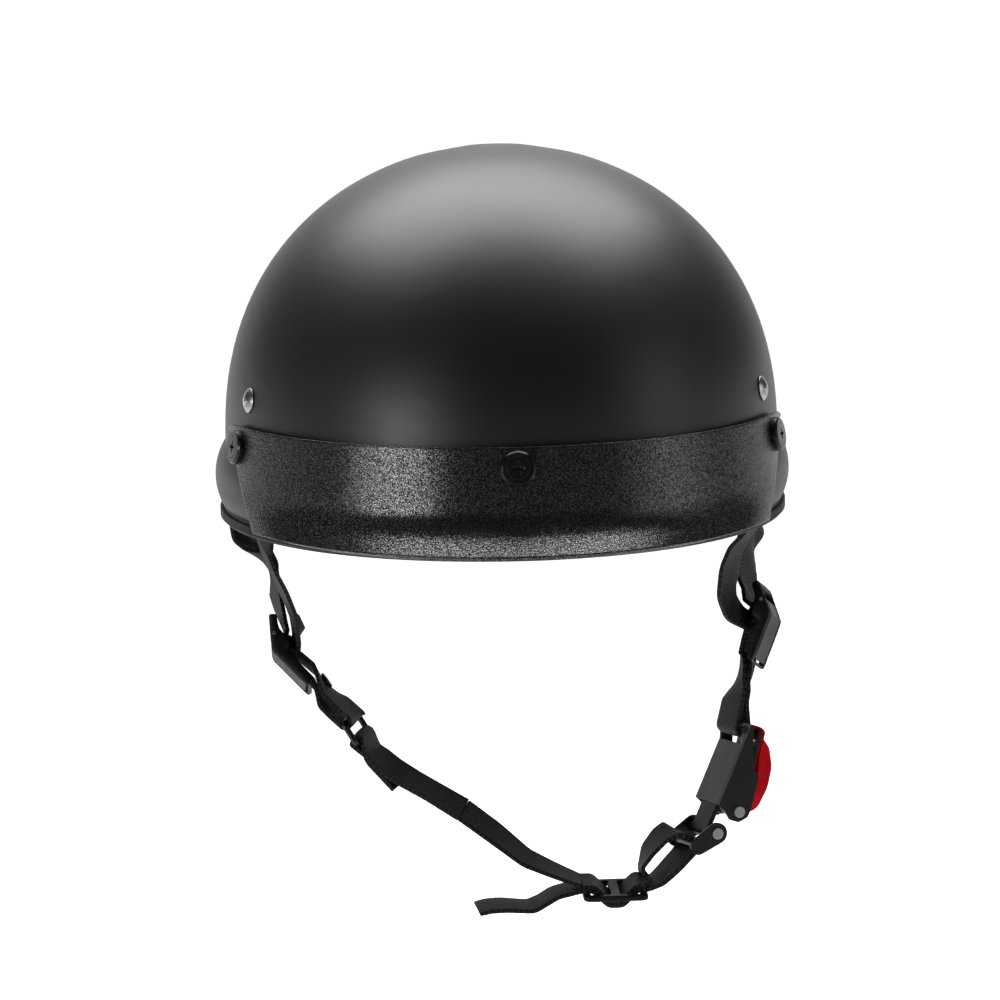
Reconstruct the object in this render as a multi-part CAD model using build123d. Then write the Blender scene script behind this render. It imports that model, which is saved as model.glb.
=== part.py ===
"""Half shell motorcycle helmet: moulded shell, foam liner, screwed-on visor and a chin strap with a quick buckle.

The front of the helmet faces -Y, +X is to the right of someone who looks at the front, and +Z is up.
The origin is the middle of the head opening, level with the shell's lower edge. Lengths are in millimetres.
"""

from build123d import *
import math
import os

# Shell
half_width = 113.0
half_length = 134.7
crown_height = 147.7
belt_height = 30.0
crown_power = 2.235
side_power = 2.03
shell_thickness = 4.0
flare_reach = 4.4
flare_height = 14.0
flare_foot_reach = 1.4
flare_foot_height = 4.0
seat_gap = 0.2
overrun = 20.0
seam_bearing = 52.0

# Rubber edging round the shell's lower edge
edging_wall = 1.3
edging_climb = 3.0

# Foam liner and comfort pads
liner_thickness = 26.0
liner_crown_thickness = 27.0
liner_foot_height = 3.0
liner_foot_chamfer = 6.0
pad_thickness = 6.0
pad_gap = 0.3
pad_foot_height = 8.0
pad_band_height = 34.0
pad_split = 5.0
brow_pad_share = 0.496
nape_pad_share = 0.496
side_pad_half_length = 40.0
crown_pad_half_width = 44.0
crown_pad_half_length = 58.0

# Visor
visor_gap = 1.5
visor_thickness = 2.0
visor_top_height = 42.0
visor_crease_height = 12.5
visor_lip_height = 3.0
visor_lip_forward = 21.3
visor_lip_side = 5.6
visor_corner_height = 7.0
visor_corner_setback = 78.0
visor_end_setback = 46.0
visor_end_radius = 9.0
visor_crease_rounding = 5.0
visor_crease_steps = 5

# Visor fasteners
screw_height = 34.0
side_screw_bearing = 25.0
cup_radius = 6.75
cup_thickness = 2.2
cup_chamfer = 0.8
cup_seat = 0.25
screw_head_radius = 4.3
screw_head_height = 1.5
screw_shank_radius = 2.4
screw_length = 17.0
recess_length = 4.6
recess_width = 1.1
recess_depth = 0.9
thread_gap = 0.1
nut_barrel_radius = 3.4
nut_flange_radius = 6.5
nut_flange_thickness = 1.2
nut_barrel_tail = 4.0
side_nut_depth = 12.2
centre_nut_depth = 10.9
pocket_gap = 0.6

# Strap rivets
rivet_height = 52.0
front_rivet_bearing = 24.7
rear_rivet_bearing = 13.0
rivet_head_radius = 5.2
rivet_head_height = 2.2
rivet_shank_radius = 2.2
rivet_tail_radius = 3.6
rivet_tail_height = 1.4
washer_radius = 6.4
washer_thickness = 1.0

# Webbing
webbing_width = 20.0
webbing_thickness = 1.6
layer_gap = 0.2
strap_end_margin = 9.0
strap_wall_gap = 0.7
strap_exit_height = -3.5
wall_steps = 5
channel_margin = 1.6
channel_depth = 3.4
strap_drop = 150.0

# Side dividers with their locking flaps
divider_bend = 40.0
divider_pitch = 20.0
left_divider_shares = (-0.794, -0.186, -0.355)
left_divider_tilt = -3.0
left_divider_turn = 2.0
right_divider_shares = (0.913, -0.186, -0.307)
right_divider_tilt = 21.0
right_divider_turn = -10.0
divider_bar_radius = 1.0
divider_cheek_thickness = 3.0
divider_cheek_gap = 1.2
divider_cheek_inside = 2.8
divider_cheek_outside = 6.6
divider_foot_inside = 4.0
divider_foot_outside = 6.6
divider_nose = 1.3
divider_shoulder = 6.5
divider_upper_length = 12.5
divider_lower_length = 19.0
divider_end_bar = 3.2
divider_foot_bar = 1.7
divider_end_bar_thickness = 2.4
divider_pin_reach = 4.9
divider_pin_rise = 4.4
divider_pin_radius = 0.7
flap_knuckle_radius = 1.4
flap_inside = 5.0
flap_thickness = 1.5
flap_length = 17.0
flap_side_gap = 0.3
pin_gap = 0.05
window_entry_angle = 60.0
window_entry_runs = (5.0, 3.0)
window_exit_angle = -73.0
window_front_exit_angle = -82.0
window_steps = 4
left_front_leave = ((5.2, -1.0), (15.0, -1.8))
left_rear_leave = ((9.0, 2.6), (19.5, 2.7))
right_front_leave = ((5.0, -1.6), (12.0, -0.9), (19.0, 0.2))
right_rear_leave = ((6.5, 0.9), (12.5, 1.5), (19.5, 2.6))

# Wire ring on the left side
ring_shares = (-0.575, -0.312, -0.53)
ring_lean = 31.0
ring_pitch = 6.0
ring_turn = -12.0
ring_wire_radius = 1.25
ring_inner_width = 21.4
ring_bar_spacing = 9.5
ring_corner_radius = 2.0
fold_gap = 0.3
fold_steps = 4

# Snap through the two layers of the left loop
snap_radius = 3.4
snap_thickness = 1.4
snap_lift = 1.0

# Three-bar slide
glide_shares = (0.349, -0.445, -0.996)
glide_lean = 0.0
glide_length = 26.0
glide_side_bar = 3.0
glide_centre_bar = 4.0
glide_thickness = 2.4
glide_rail = 3.6
glide_slot_margin = 0.8
glide_corner_radius = 3.0
glide_bend_gap = 0.3

# Chin strap fold, tail and stitching
chin_fold_length = 15.0

# Quick buckle
buckle_shares = (0.786, -0.323, -0.62)
buckle_direction = (-0.41, -0.20, -0.89)
buckle_width_direction = (0.282, -0.956, 0.085)
buckle_inner_width = 20.8
buckle_wall = 1.2
buckle_length = 26.0
buckle_wall_height = 14.7
buckle_wall_length_shares = ((-0.31, -0.20), (-0.35, 0.14), (0.27, 0.585), (0.35, 0.86), (0.85, 1.0),
                             (1.0, 1.0), (1.13, 0.81), (1.15, 0.54), (1.065, 0.33), (1.0, 0.0))
buckle_ear_radius = 2.0
buckle_bar_radius = 1.7
buckle_bar_back = 6.0
buckle_bar_sink = 1.0
lever_pivot_along = 25.4
lever_pivot_rise = 10.2
lever_pin_radius = 1.5
pin_head_radius = 2.25
pin_head_height = 0.8
lever_side_gap = 0.5
lever_boss_radius = 3.0
lever_thickness = 1.8
lever_tip_along = -8.0
lever_tip_rise = 5.6
lever_slot_length = 15.0
lever_slot_width = 2.6
lever_slot_margin = 2.2
pawl_along = 19.0
pawl_width = 2.4
pawl_gap = 0.4

# Lever spring
spring_wire_radius = 0.4
spring_coil_radius = 2.2
spring_pitch = 1.5
spring_turns = 4
spring_well_radius = 3.1

# Tongue and strap bracket
tongue_thickness = 1.8
tongue_lift = 0.35
tongue_width = 15.0
tongue_start_along = 9.0
tongue_window = 5.0
bracket_pin_along = 36.9
bracket_pin_rise = 4.4
tongue_eye_radius = 2.9
tongue_eye_half_width = 9.5
bracket_gap = 0.25
bracket_wall = 1.1
bracket_ear_radius = 4.3
bracket_bar_along = 44.5
bracket_bar_rise = -0.8
bracket_bar_radius = 1.5
bracket_bar_ear_radius = 3.5

# Red pull tab
tab_width = 14.0
tab_thickness = 1.1
tab_route_shares = ((-0.19, 0.78), (-0.04, 1.0), (0.18, 1.2), (0.45, 1.32), (0.75, 1.36), (0.85, 1.1))

# Turn of the chin loop round the bracket's bar
loop_direction = (1.0, 0.0, 0.2)
loop_start_angle = 100.0
loop_end_angle = -100.0

# Free runs of webbing. Each row holds a place as shares of the half width, half length and strap drop,
# and the turn of the webbing's width away from the front, in degrees.
left_front_shares = ((-0.865, -0.394, -0.040, 12), (-0.843, -0.376, -0.095, 10), (-0.812, -0.348, -0.145, 9),
                     (-0.785, -0.300, -0.215, 12), (-0.766, -0.240, -0.280, 5))
left_rear_shares = ((-0.945, 0.135, -0.075, -18), (-0.915, 0.062, -0.108, -22), (-0.884, 0.015, -0.132, -10),
                    (-0.850, -0.030, -0.158, 8), (-0.840, -0.067, -0.184, 13), (-0.826, -0.111, -0.230, 12),
                    (-0.804, -0.150, -0.284, 8))
right_front_shares = ((0.815, -0.374, -0.072, -26), (0.788, -0.366, -0.120, -26),
                      (0.781, -0.340, -0.177, -26), (0.800, -0.282, -0.232, -24), (0.835, -0.223, -0.272, -16))
right_rear_shares = ((0.950, 0.158, -0.077, -16), (0.930, 0.104, -0.109, -14), (0.908, 0.045, -0.138, -20),
                     (0.889, -0.007, -0.169, -24), (0.882, -0.059, -0.212, -20), (0.885, -0.110, -0.247, -14))
left_front_loop_shares = ((-0.637, -0.262, -0.471, -9), )
left_rear_loop_shares = ((-0.643, -0.268, -0.505, -12), )
right_loop_shares = ((0.826, -0.268, -0.460, -4), (0.803, -0.296, -0.506, 14))
right_layer_slack = 0.35
chin_shares = ((-0.480, -0.343, -0.626, -19), (-0.427, -0.356, -0.664, -27), (-0.352, -0.371, -0.697, -25),
               (-0.285, -0.386, -0.725, -24), (-0.181, -0.401, -0.773, -26), (-0.070, -0.416, -0.836, -23),
               (0.038, -0.431, -0.903, -17), (0.129, -0.438, -0.935, -10))
upper_loop_shares = ((0.448, -0.431, -0.938, 0), (0.476, -0.423, -0.893, 5), (0.520, -0.416, -0.856, 9),
                     (0.566, -0.408, -0.839, 13))
lower_loop_shares = ((0.505, -0.440, -0.972, 3), (0.555, -0.428, -0.940, 9))
tail_shares = ((0.137, -0.453, -0.997, 0), (0.096, -0.460, -1.014, 0), (0.049, -0.468, -1.029, 0),
               (-0.050, -0.475, -1.021, 2), (-0.103, -0.483, -1.021, 3))
tail_end_shares = (-0.142, -0.486, -1.027)

length_ratio = half_length / half_width
visor_lip_reach = half_length + visor_lip_forward
visor_lip_half_width = half_width + visor_lip_side
brow_pad_half_width = brow_pad_share * half_width
nape_pad_half_width = nape_pad_share * half_width
slope_step = 0.01 * crown_height
mitre_floor = 0.5
webbing_half = webbing_thickness / 2
layer_pitch = webbing_thickness + layer_gap


def dome_radius(height, inset=0.0):
    """Half width of the dome at a height, for the surface that lies inset inside the outer one."""
    share = min(max((height - belt_height) / (crown_height - inset - belt_height), 0.0), 1.0)
    return (half_width - inset) * (1 - share ** crown_power) ** (1 / side_power)


def dome_points(inset, steps=12, crown_inset=None):
    """Points of a dome section from the belt to the pole, on a superellipse."""
    top = crown_height - (inset if crown_inset is None else crown_inset)
    points = []
    for step in range(steps + 1):
        angle = math.radians(90 * step / steps)
        across = (half_width - inset) * max(math.cos(angle), 0.0) ** (2 / side_power)
        up = belt_height + (top - belt_height) * math.sin(angle) ** (2 / crown_power)
        points.append((0.0 if step == steps else across, up))
    return points


def dome_curve(inset, crown_inset=None):
    """Smooth section of a dome from its belt to its pole, in the XZ plane."""
    points = dome_points(inset, crown_inset=crown_inset)
    return Spline(*[(x, 0, z) for x, z in points], tangents=((0, 0, 1), (-1, 0, 0)))


def flare_arc(inset):
    """Rolled lip of the shell from its belt to the foot of the flare."""
    start = (half_width - inset, 0, belt_height)
    middle = (half_width + flare_reach - inset, 0, flare_height)
    foot = (half_width + flare_foot_reach - inset, 0, flare_foot_height)
    return ThreePointArc(start, middle, foot)


def turned(section):
    """Solid of revolution about Z of a section, stretched to the helmet's length, with its seam off the middle."""
    return scale(Rot(0, 0, seam_bearing) * revolve(section, axis=Axis.Z), by=(1, length_ratio, 1))


def wall_plane(bearing, height, side=1, depth=0.0):
    """Plane on the shell's wall: bearing in degrees back from the side, its Z axis out along the wall's normal."""
    angle = math.radians(bearing)
    radius = dome_radius(height)
    slope = (dome_radius(height + slope_step) - dome_radius(height - slope_step)) / (2 * slope_step)
    point = Vector(side * radius * math.cos(angle), length_ratio * radius * math.sin(angle), height)
    normal = Vector(side * math.cos(angle), math.sin(angle) / length_ratio, -slope).normalized()
    across = Vector(0, 0, 1).cross(normal).normalized()
    return Plane(origin=point - normal * depth, x_dir=across, z_dir=normal)


def shell_radius(height):
    """Half width of the shell's outside at a height, on its dome or its flared lip."""
    if height >= belt_height:
        return dome_radius(height)
    arc = flare_arc(0.0)
    centre = arc.arc_center
    return centre.X + math.sqrt(arc.radius ** 2 - (height - centre.Z) ** 2)


def visor_section(height):
    """Half width and half length of the visor's upright band at a height, on a straight slope beside the shell."""
    clear = visor_gap + visor_thickness
    top = shell_radius(visor_top_height)
    crease = shell_radius(visor_crease_height)
    share = (visor_top_height - height) / (visor_top_height - visor_crease_height)
    shell = top + (crease - top) * share
    return shell + clear, length_ratio * shell + clear


def visor_plane(side):
    """Plane on the visor's outer face at a screw: side is -1 left, 0 centre, 1 right."""
    across, along = visor_section(screw_height)
    angle = math.radians(-90 if side == 0 else -side_screw_bearing)
    turn = 1 if side == 0 else side
    point = Vector(turn * across * math.cos(angle) if side else 0, along * math.sin(angle), screw_height)
    step = cup_radius
    lean = (visor_section(screw_height - step)[0] - visor_section(screw_height + step)[0]) / (2 * step)
    flat = Vector(turn * math.cos(angle) / across if side else 0, math.sin(angle) / along, 0).normalized()
    normal = (flat + Vector(0, 0, lean)).normalized()
    across_dir = Vector(0, 0, 1).cross(normal).normalized()
    return Plane(origin=point, x_dir=across_dir, z_dir=normal)


def peg(plane, radius, start, end):
    """Round bar along a plane's normal, from one height to another."""
    length = end - start
    return plane.location * Pos(0, 0, start + length / 2) * Cylinder(radius, length)


def shell_stock(inset_out, inset_in):
    """Shell wall between two insets, with its flared lip."""
    outer = dome_curve(inset_out)
    inner = dome_curve(inset_in)
    foot_out = (half_width + flare_foot_reach - inset_out, 0, 0)
    foot_in = (half_width + flare_foot_reach - inset_in, 0, 0)
    lip_out = flare_arc(inset_out)
    lip_in = flare_arc(inset_in)
    edges = [outer, lip_out, Line(lip_out @ 1, foot_out), Line(foot_out, foot_in), Line(foot_in, lip_in @ 1),
             lip_in, inner, Line(inner @ 1, outer @ 1)]
    return turned(make_face(Wire(edges)))


def slab(face, low, high):
    """Plate with a face's outline between two heights."""
    return Pos(0, 0, low) * extrude(face, high - low, dir=(0, 0, 1))


def screw_planes():
    """Planes of the three visor screws."""
    return [visor_plane(-1), visor_plane(0), visor_plane(1)]


def rivet_planes(depth=0.0):
    """Planes of the four strap rivets: front left, front right, rear left, rear right."""
    planes = []
    for bearing in (-front_rivet_bearing, rear_rivet_bearing):
        for side in (-1, 1):
            planes.append(wall_plane(bearing, rivet_height, side, depth))
    return planes


def make_shell():
    """Moulded shell with its screw and rivet holes."""
    shell = shell_stock(0.0, shell_thickness)
    holes = [peg(plane, screw_shank_radius + thread_gap, -overrun, overrun) for plane in screw_planes()]
    holes += [peg(plane, rivet_shank_radius + pin_gap, -overrun, overrun) for plane in rivet_planes()]
    return shell - holes


def make_edging():
    """Rubber channel that wraps the shell's lower edge."""
    outside = half_width + flare_foot_reach
    inside = outside - shell_thickness
    low = -seat_gap - edging_wall
    points = [(outside + seat_gap, edging_climb), (outside + seat_gap + edging_wall, edging_climb),
              (outside + seat_gap + edging_wall, low + edging_wall), (outside + seat_gap, low),
              (inside - seat_gap, low), (inside - seat_gap - edging_wall, low + edging_wall),
              (inside - seat_gap - edging_wall, edging_climb), (inside - seat_gap, edging_climb),
              (inside - seat_gap, -seat_gap), (outside + seat_gap, -seat_gap)]
    return turned(make_face(Polyline(*[(x, 0, z) for x, z in points], close=True)))


def cavity_curve(grown):
    """Section of the head cavity, drawn in from the liner by a further inset."""
    return dome_curve(shell_thickness + seat_gap + liner_thickness + grown,
                      shell_thickness + seat_gap + liner_crown_thickness + grown)


def make_liner():
    """Foam liner with channels for the straps and pockets for the fasteners."""
    outer = dome_curve(shell_thickness + seat_gap)
    inner = cavity_curve(0.0)
    low_out = ((outer @ 0).X, 0, liner_foot_height)
    low_in = ((inner @ 0).X + liner_foot_chamfer, 0, liner_foot_height)
    step_in = ((inner @ 0).X, 0, liner_foot_height + liner_foot_chamfer)
    edges = [outer, Line(outer @ 0, low_out), Line(low_out, low_in), Line(low_in, step_in),
             Line(step_in, inner @ 0), inner, Line(inner @ 1, outer @ 1)]
    liner = turned(make_face(Wire(edges)))
    for plane in screw_planes():
        deepest = side_nut_depth + nut_barrel_tail + pocket_gap
        liner -= peg(plane, nut_flange_radius + pocket_gap, -deepest, overrun)
    for plane in rivet_planes(shell_thickness):
        low = -2 * webbing_thickness - 2 * strap_wall_gap - washer_thickness - rivet_tail_height - pocket_gap
        liner -= peg(plane, washer_radius + pocket_gap, low, overrun)
    for side in (-1, 1):
        for bearing in (-front_rivet_bearing, rear_rivet_bearing):
            rows = wall_rows(side, bearing)
            first = rows[0][0] - rows[1][0]
            last = rows[-1][0] - rows[-2][0]
            rows[0] = (rows[0][0] + first.normalized() * channel_margin, *rows[0][1:])
            rows.append((rows[-1][0] + last.normalized() * overrun, *rows[-1][1:]))
            liner -= webbing(rows, webbing_width + 2 * channel_margin, webbing_thickness + channel_depth)
    return liner


def band(rows, width=None, thickness=None):
    """Rectangle sections of a flat band, mitred at each turn.

    Each row is a place, a width direction and whether a bar or wall holds the width exactly to that direction.
    """
    wide = webbing_width if width is None else width
    thick = webbing_thickness if thickness is None else thickness
    sections = []
    for index, (place, across, held) in enumerate(rows):
        before = rows[max(index - 1, 0)][0]
        after = rows[min(index + 1, len(rows) - 1)][0]
        arrive = (place - before).normalized() if index else (after - place).normalized()
        leave = (after - place).normalized() if index < len(rows) - 1 else arrive
        heading = (arrive + leave).normalized()
        mitre = max(heading.dot(arrive), mitre_floor)
        if held:
            side_dir = across.normalized()
            heading = (heading - side_dir * heading.dot(side_dir)).normalized()
        else:
            side_dir = (across - heading * across.dot(heading)).normalized()
        section = Plane(origin=place, x_dir=side_dir, z_dir=heading)
        sections.append(section * Rectangle(wide, thick / mitre))
    return sections


def webbing(rows, width=None, thickness=None):
    """Flat band of webbing as a solid along its rows."""
    return loft(band(rows, width, thickness), ruled=True)


def wall_rows(side, bearing):
    """Rows of a strap between the shell and the liner, from above its rivet to the shell's lower edge."""
    depth = shell_thickness + strap_wall_gap + webbing_half
    top = rivet_height + strap_end_margin
    rows = []
    for step in range(wall_steps + 1):
        height = top + (strap_exit_height - top) * step / wall_steps
        plane = wall_plane(bearing, height, side, depth)
        across = plane.x_dir if plane.x_dir.Y < 0 else plane.x_dir * -1
        rows.append((plane.origin, across, True))
    return rows


def free_rows(shares, held=False):
    """Rows of a free run from its table of shares and turns."""
    rows = []
    for x_share, y_share, z_share, turn in shares:
        angle = math.radians(turn)
        place = Vector(x_share * half_width, y_share * half_length, z_share * strap_drop)
        rows.append((place, Vector(math.sin(angle), -math.cos(angle), 0), held))
    return rows


def outer_rows(rows, distance):
    """Rows of a second layer that lies a distance outboard of the first one."""
    layer = []
    for index, (place, across, held) in enumerate(rows):
        before = rows[max(index - 1, 0)][0]
        after = rows[min(index + 1, len(rows) - 1)][0]
        normal = (after - before).cross(across).normalized()
        outward = normal if normal.X > 0 else normal * -1
        layer.append((place + outward * distance, across, held))
    return layer


def share_place(shares):
    """Place from shares of the half width, half length and strap drop."""
    return Vector(shares[0] * half_width, shares[1] * half_length, shares[2] * strap_drop)


def divider_plane(side):
    """Plane of a divider: X out from the head, Y up along its upper half, Z along its bars."""
    shares = left_divider_shares if side < 0 else right_divider_shares
    tilt = math.radians(left_divider_tilt if side < 0 else right_divider_tilt)
    turn = math.radians(left_divider_turn if side < 0 else right_divider_turn)
    level = Vector(side * math.cos(turn), side * math.sin(turn), 0)
    rear = Vector(-math.sin(turn), math.cos(turn), 0)
    pitch = math.radians(divider_pitch)
    out = level * math.cos(tilt) + Vector(0, 0, 1) * math.sin(tilt)
    up = Vector(0, 0, 1) * math.cos(tilt) - level * math.sin(tilt)
    up = up * math.cos(pitch) + rear * math.sin(pitch)
    return Plane(origin=share_place(shares), x_dir=out, z_dir=out.cross(up))


def lower_frame(along, out):
    """Point of a divider's lower half, by its distance from the bend and out from its middle."""
    bend = math.radians(divider_bend)
    return (-along * math.sin(bend) + out * math.cos(bend), -along * math.cos(bend) - out * math.sin(bend))


def divider_turn_radius(layer):
    """Radius of a webbing layer's middle round the divider's cross bar, the first layer lying on the bar."""
    return divider_bar_radius + layer_gap + webbing_half + layer * layer_pitch


def divider_rows(side, layer):
    """Rows of a strap through a divider: out through its window, over the cross bar and back in below it."""
    plane = divider_plane(side)
    across = plane.z_dir * side
    radius = divider_turn_radius(layer)
    start = math.radians(window_entry_angle)
    end = math.radians(window_front_exit_angle if layer == 0 else window_exit_angle)
    run = window_entry_runs[layer]
    spots = [(radius * math.cos(start) - run * math.sin(start), radius * math.sin(start) + run * math.cos(start))]
    for step in range(window_steps + 1):
        angle = start + (end - start) * step / window_steps
        spots.append((radius * math.cos(angle), radius * math.sin(angle)))
    leave = {(-1, 0): left_front_leave, (-1, 1): left_rear_leave,
             (1, 0): right_front_leave, (1, 1): right_rear_leave}[(side, layer)]
    spots += [lower_frame(along, out) for along, out in leave]
    return [(plane.from_local_coords(Vector(x, y, 0)), across, True) for x, y in spots]


def make_divider(side):
    """Moulded divider frame: two bent cheeks joined by a top bar, a cross bar and a bottom bar."""
    plane = divider_plane(side)
    inner = webbing_width / 2 + divider_cheek_gap
    outer = inner + divider_cheek_thickness
    reach = divider_lower_length
    bend_share = math.tan(math.radians(divider_bend / 2))
    outline = Polyline((divider_cheek_inside, divider_upper_length), (divider_cheek_outside, divider_upper_length),
                       (divider_cheek_outside, -divider_cheek_outside * bend_share),
                       lower_frame(reach, divider_foot_outside), lower_frame(reach, divider_foot_inside),
                       lower_frame(divider_shoulder, divider_nose), (divider_nose, -2 * divider_nose),
                       (-divider_nose, -divider_nose),
                       (-divider_nose, divider_nose), (divider_cheek_inside, divider_shoulder), close=True)
    profile = make_face(outline)
    frame = slab(profile, -outer, -inner) + slab(profile, inner, outer)
    width = 2 * outer - divider_cheek_thickness
    frame += Cylinder(divider_bar_radius, width)
    end_bar = Box(divider_end_bar_thickness, divider_end_bar, width)
    top_out = divider_cheek_outside - divider_end_bar_thickness / 2
    frame += Pos(top_out, divider_upper_length - divider_end_bar / 2, 0) * end_bar
    foot_out = divider_foot_inside + divider_end_bar_thickness / 2
    x, y = lower_frame(reach - divider_foot_bar / 2, foot_out)
    foot_bar = Box(divider_end_bar_thickness, divider_foot_bar, width)
    frame += Pos(x, y, 0) * Rot(0, 0, -divider_bend) * foot_bar
    frame -= Pos(divider_pin_reach, divider_pin_rise, 0) * Cylinder(divider_pin_radius + pin_gap, 2 * outer + overrun)
    return plane.location * frame


def make_divider_pin(side):
    """Hinge pin of a divider's locking flap."""
    length = webbing_width + 2 * divider_cheek_gap + 2 * divider_cheek_thickness
    return divider_plane(side).location * Pos(divider_pin_reach, divider_pin_rise, 0) * Cylinder(
        divider_pin_radius, length)


def make_flap(side):
    """Locking flap that folds down over the webbing on a divider's cross bar."""
    half = webbing_width / 2 + divider_cheek_gap - flap_side_gap
    outside = flap_inside + flap_thickness
    bend_share = math.tan(math.radians(divider_bend / 2))
    blade = Polyline((divider_pin_reach - flap_knuckle_radius, divider_pin_rise),
                     (divider_pin_reach + flap_knuckle_radius, divider_pin_rise),
                     (outside, 0), (outside, -outside * bend_share), lower_frame(flap_length, outside),
                     lower_frame(flap_length, flap_inside), (flap_inside, -flap_inside * bend_share),
                     (flap_inside, 0), close=True)
    flap = slab(make_face(blade), -half, half)
    flap += Pos(divider_pin_reach, divider_pin_rise, 0) * Cylinder(flap_knuckle_radius, 2 * half)
    flap -= Pos(divider_pin_reach, divider_pin_rise, 0) * Cylinder(divider_pin_radius + pin_gap, 2 * half + overrun)
    return divider_plane(side).location * flap


def ring_axes():
    """Middle of the ring's upper bar, the direction down to its lower bar and the direction of its bars."""
    lean = math.radians(ring_lean)
    pitch = math.radians(ring_pitch)
    turn = math.radians(ring_turn)
    down = Vector(math.sin(lean), -math.sin(pitch), -math.cos(lean)).normalized()
    bar = Vector(math.sin(turn), -math.cos(turn), 0)
    bar = (bar - down * bar.dot(down)).normalized()
    return share_place(ring_shares), down, bar


def make_ring():
    """Bent wire ring between the left loop and the chin strap."""
    centre, down, bar = ring_axes()
    plane = Plane(origin=centre + down * (ring_bar_spacing / 2), x_dir=bar, z_dir=bar.cross(down))
    wide = ring_inner_width + 2 * ring_wire_radius
    path = plane * RectangleRounded(wide, ring_bar_spacing, ring_corner_radius).wire()
    start = path @ 0
    section = Plane(origin=start, z_dir=path % 0) * Circle(ring_wire_radius)
    return sweep(section, path=path)


def fold_rows(centre, bar, toward, radius, first, last, steps=fold_steps):
    """Rows round a bar: toward is the direction that the fold points, and the angles go from first to last."""
    away = (toward - bar * toward.dot(bar)).normalized()
    side_dir = bar.cross(away)
    rows = []
    for step in range(steps + 1):
        angle = math.radians(first + (last - first) * step / steps)
        place = centre + away * (radius * math.cos(angle)) + side_dir * (radius * math.sin(angle))
        rows.append((place, bar, True))
    return rows


def side_run(side, front):
    """Rows of one strap, from its end inside the shell through the divider to the loop below it."""
    bearing = -front_rivet_bearing if front else rear_rivet_bearing
    upper = {(-1, True): left_front_shares, (-1, False): left_rear_shares,
             (1, True): right_front_shares, (1, False): right_rear_shares}[(side, front)]
    if side < 0:
        lower = free_rows(left_front_loop_shares if front else left_rear_loop_shares, held=True)
    else:
        lower = free_rows(right_loop_shares, held=True)
        lower = lower if front else outer_rows(lower, layer_pitch + right_layer_slack)
    return wall_rows(side, bearing) + free_rows(upper) + divider_rows(side, 0 if front else 1) + lower


def side_straps(side):
    """Front and rear webbing of one side: one length that loops round the bar below the divider."""
    if side < 0:
        centre, down, bar = ring_axes()
        radius = ring_wire_radius + fold_gap + webbing_half
        start = 90
    else:
        centre = buckle_point(-buckle_bar_back, -buckle_bar_sink)
        down, bar, out = buckle_axes()
        radius = buckle_bar_radius + fold_gap + webbing_half
        start = -90
    front = side_run(side, True)
    rear = side_run(side, False)
    rear.reverse()
    sections = band(front + fold_rows(centre, bar, down, radius, start, -start, 2 * fold_steps) + rear)
    middle = len(front) + fold_steps
    straps = []
    rear_half = list(reversed(sections[middle:]))
    for half, bearing in ((sections[:middle + 1], -front_rivet_bearing), (rear_half, rear_rivet_bearing)):
        strap = loft(half, ruled=True)
        hole = peg(wall_plane(bearing, rivet_height, side), rivet_shank_radius + pin_gap, -overrun, overrun)
        straps.append(strap - hole)
    screw_hole = peg(visor_plane(side), screw_shank_radius + thread_gap, -overrun, overrun)
    return straps[0] - screw_hole, straps[1]


def make_rivets():
    """Domed strap rivets with their peened tails inside the shell."""
    rivets = []
    for plane in rivet_planes():
        tail_top = -rivet_stack()
        ball = (rivet_head_radius ** 2 + rivet_head_height ** 2) / (2 * rivet_head_height)
        dome = plane.location * Pos(0, 0, rivet_head_height - ball) * Sphere(ball)
        head = dome & peg(plane, rivet_head_radius, seat_gap, rivet_head_height + overrun)
        shank = peg(plane, rivet_shank_radius, tail_top - rivet_tail_height / 2, seat_gap + rivet_head_height / 2)
        tail = peg(plane, rivet_tail_radius, tail_top - rivet_tail_height, tail_top)
        rivets.append(head + shank + tail)
    return rivets


def rivet_stack():
    """Depth from the shell's outside to the rivet's tail: wall, strap and washer with their clearances."""
    return shell_thickness + 2 * strap_wall_gap + webbing_thickness + washer_thickness + seat_gap


def make_washers():
    """Backing washers that spread each rivet's pull over the webbing."""
    washers = []
    for plane in rivet_planes():
        low = -rivet_stack() + seat_gap
        disc = peg(plane, washer_radius, low, low + washer_thickness)
        washers.append(disc - peg(plane, rivet_shank_radius + pin_gap, -overrun, overrun))
    return washers


def visor_levels(inset):
    """Heights and half axes of the visor's section, with the crease rounded between its two slopes."""
    crease = Vector(visor_crease_height, *visor_section(visor_crease_height))
    lip = Vector(visor_lip_height, visor_lip_half_width, visor_lip_reach)
    begin_height = visor_crease_height + visor_crease_rounding
    begin = Vector(begin_height, *visor_section(begin_height))
    end = crease + (lip - crease) * (visor_crease_rounding / (visor_crease_height - visor_lip_height))
    levels = [Vector(visor_top_height, *visor_section(visor_top_height))]
    for step in range(visor_crease_steps + 1):
        t = step / visor_crease_steps
        levels.append(begin * (1 - t) ** 2 + crease * (2 * t * (1 - t)) + end * t ** 2)
    levels.append(lip)
    return [(level.X, level.Y - inset, level.Z - inset) for level in levels]


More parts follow.
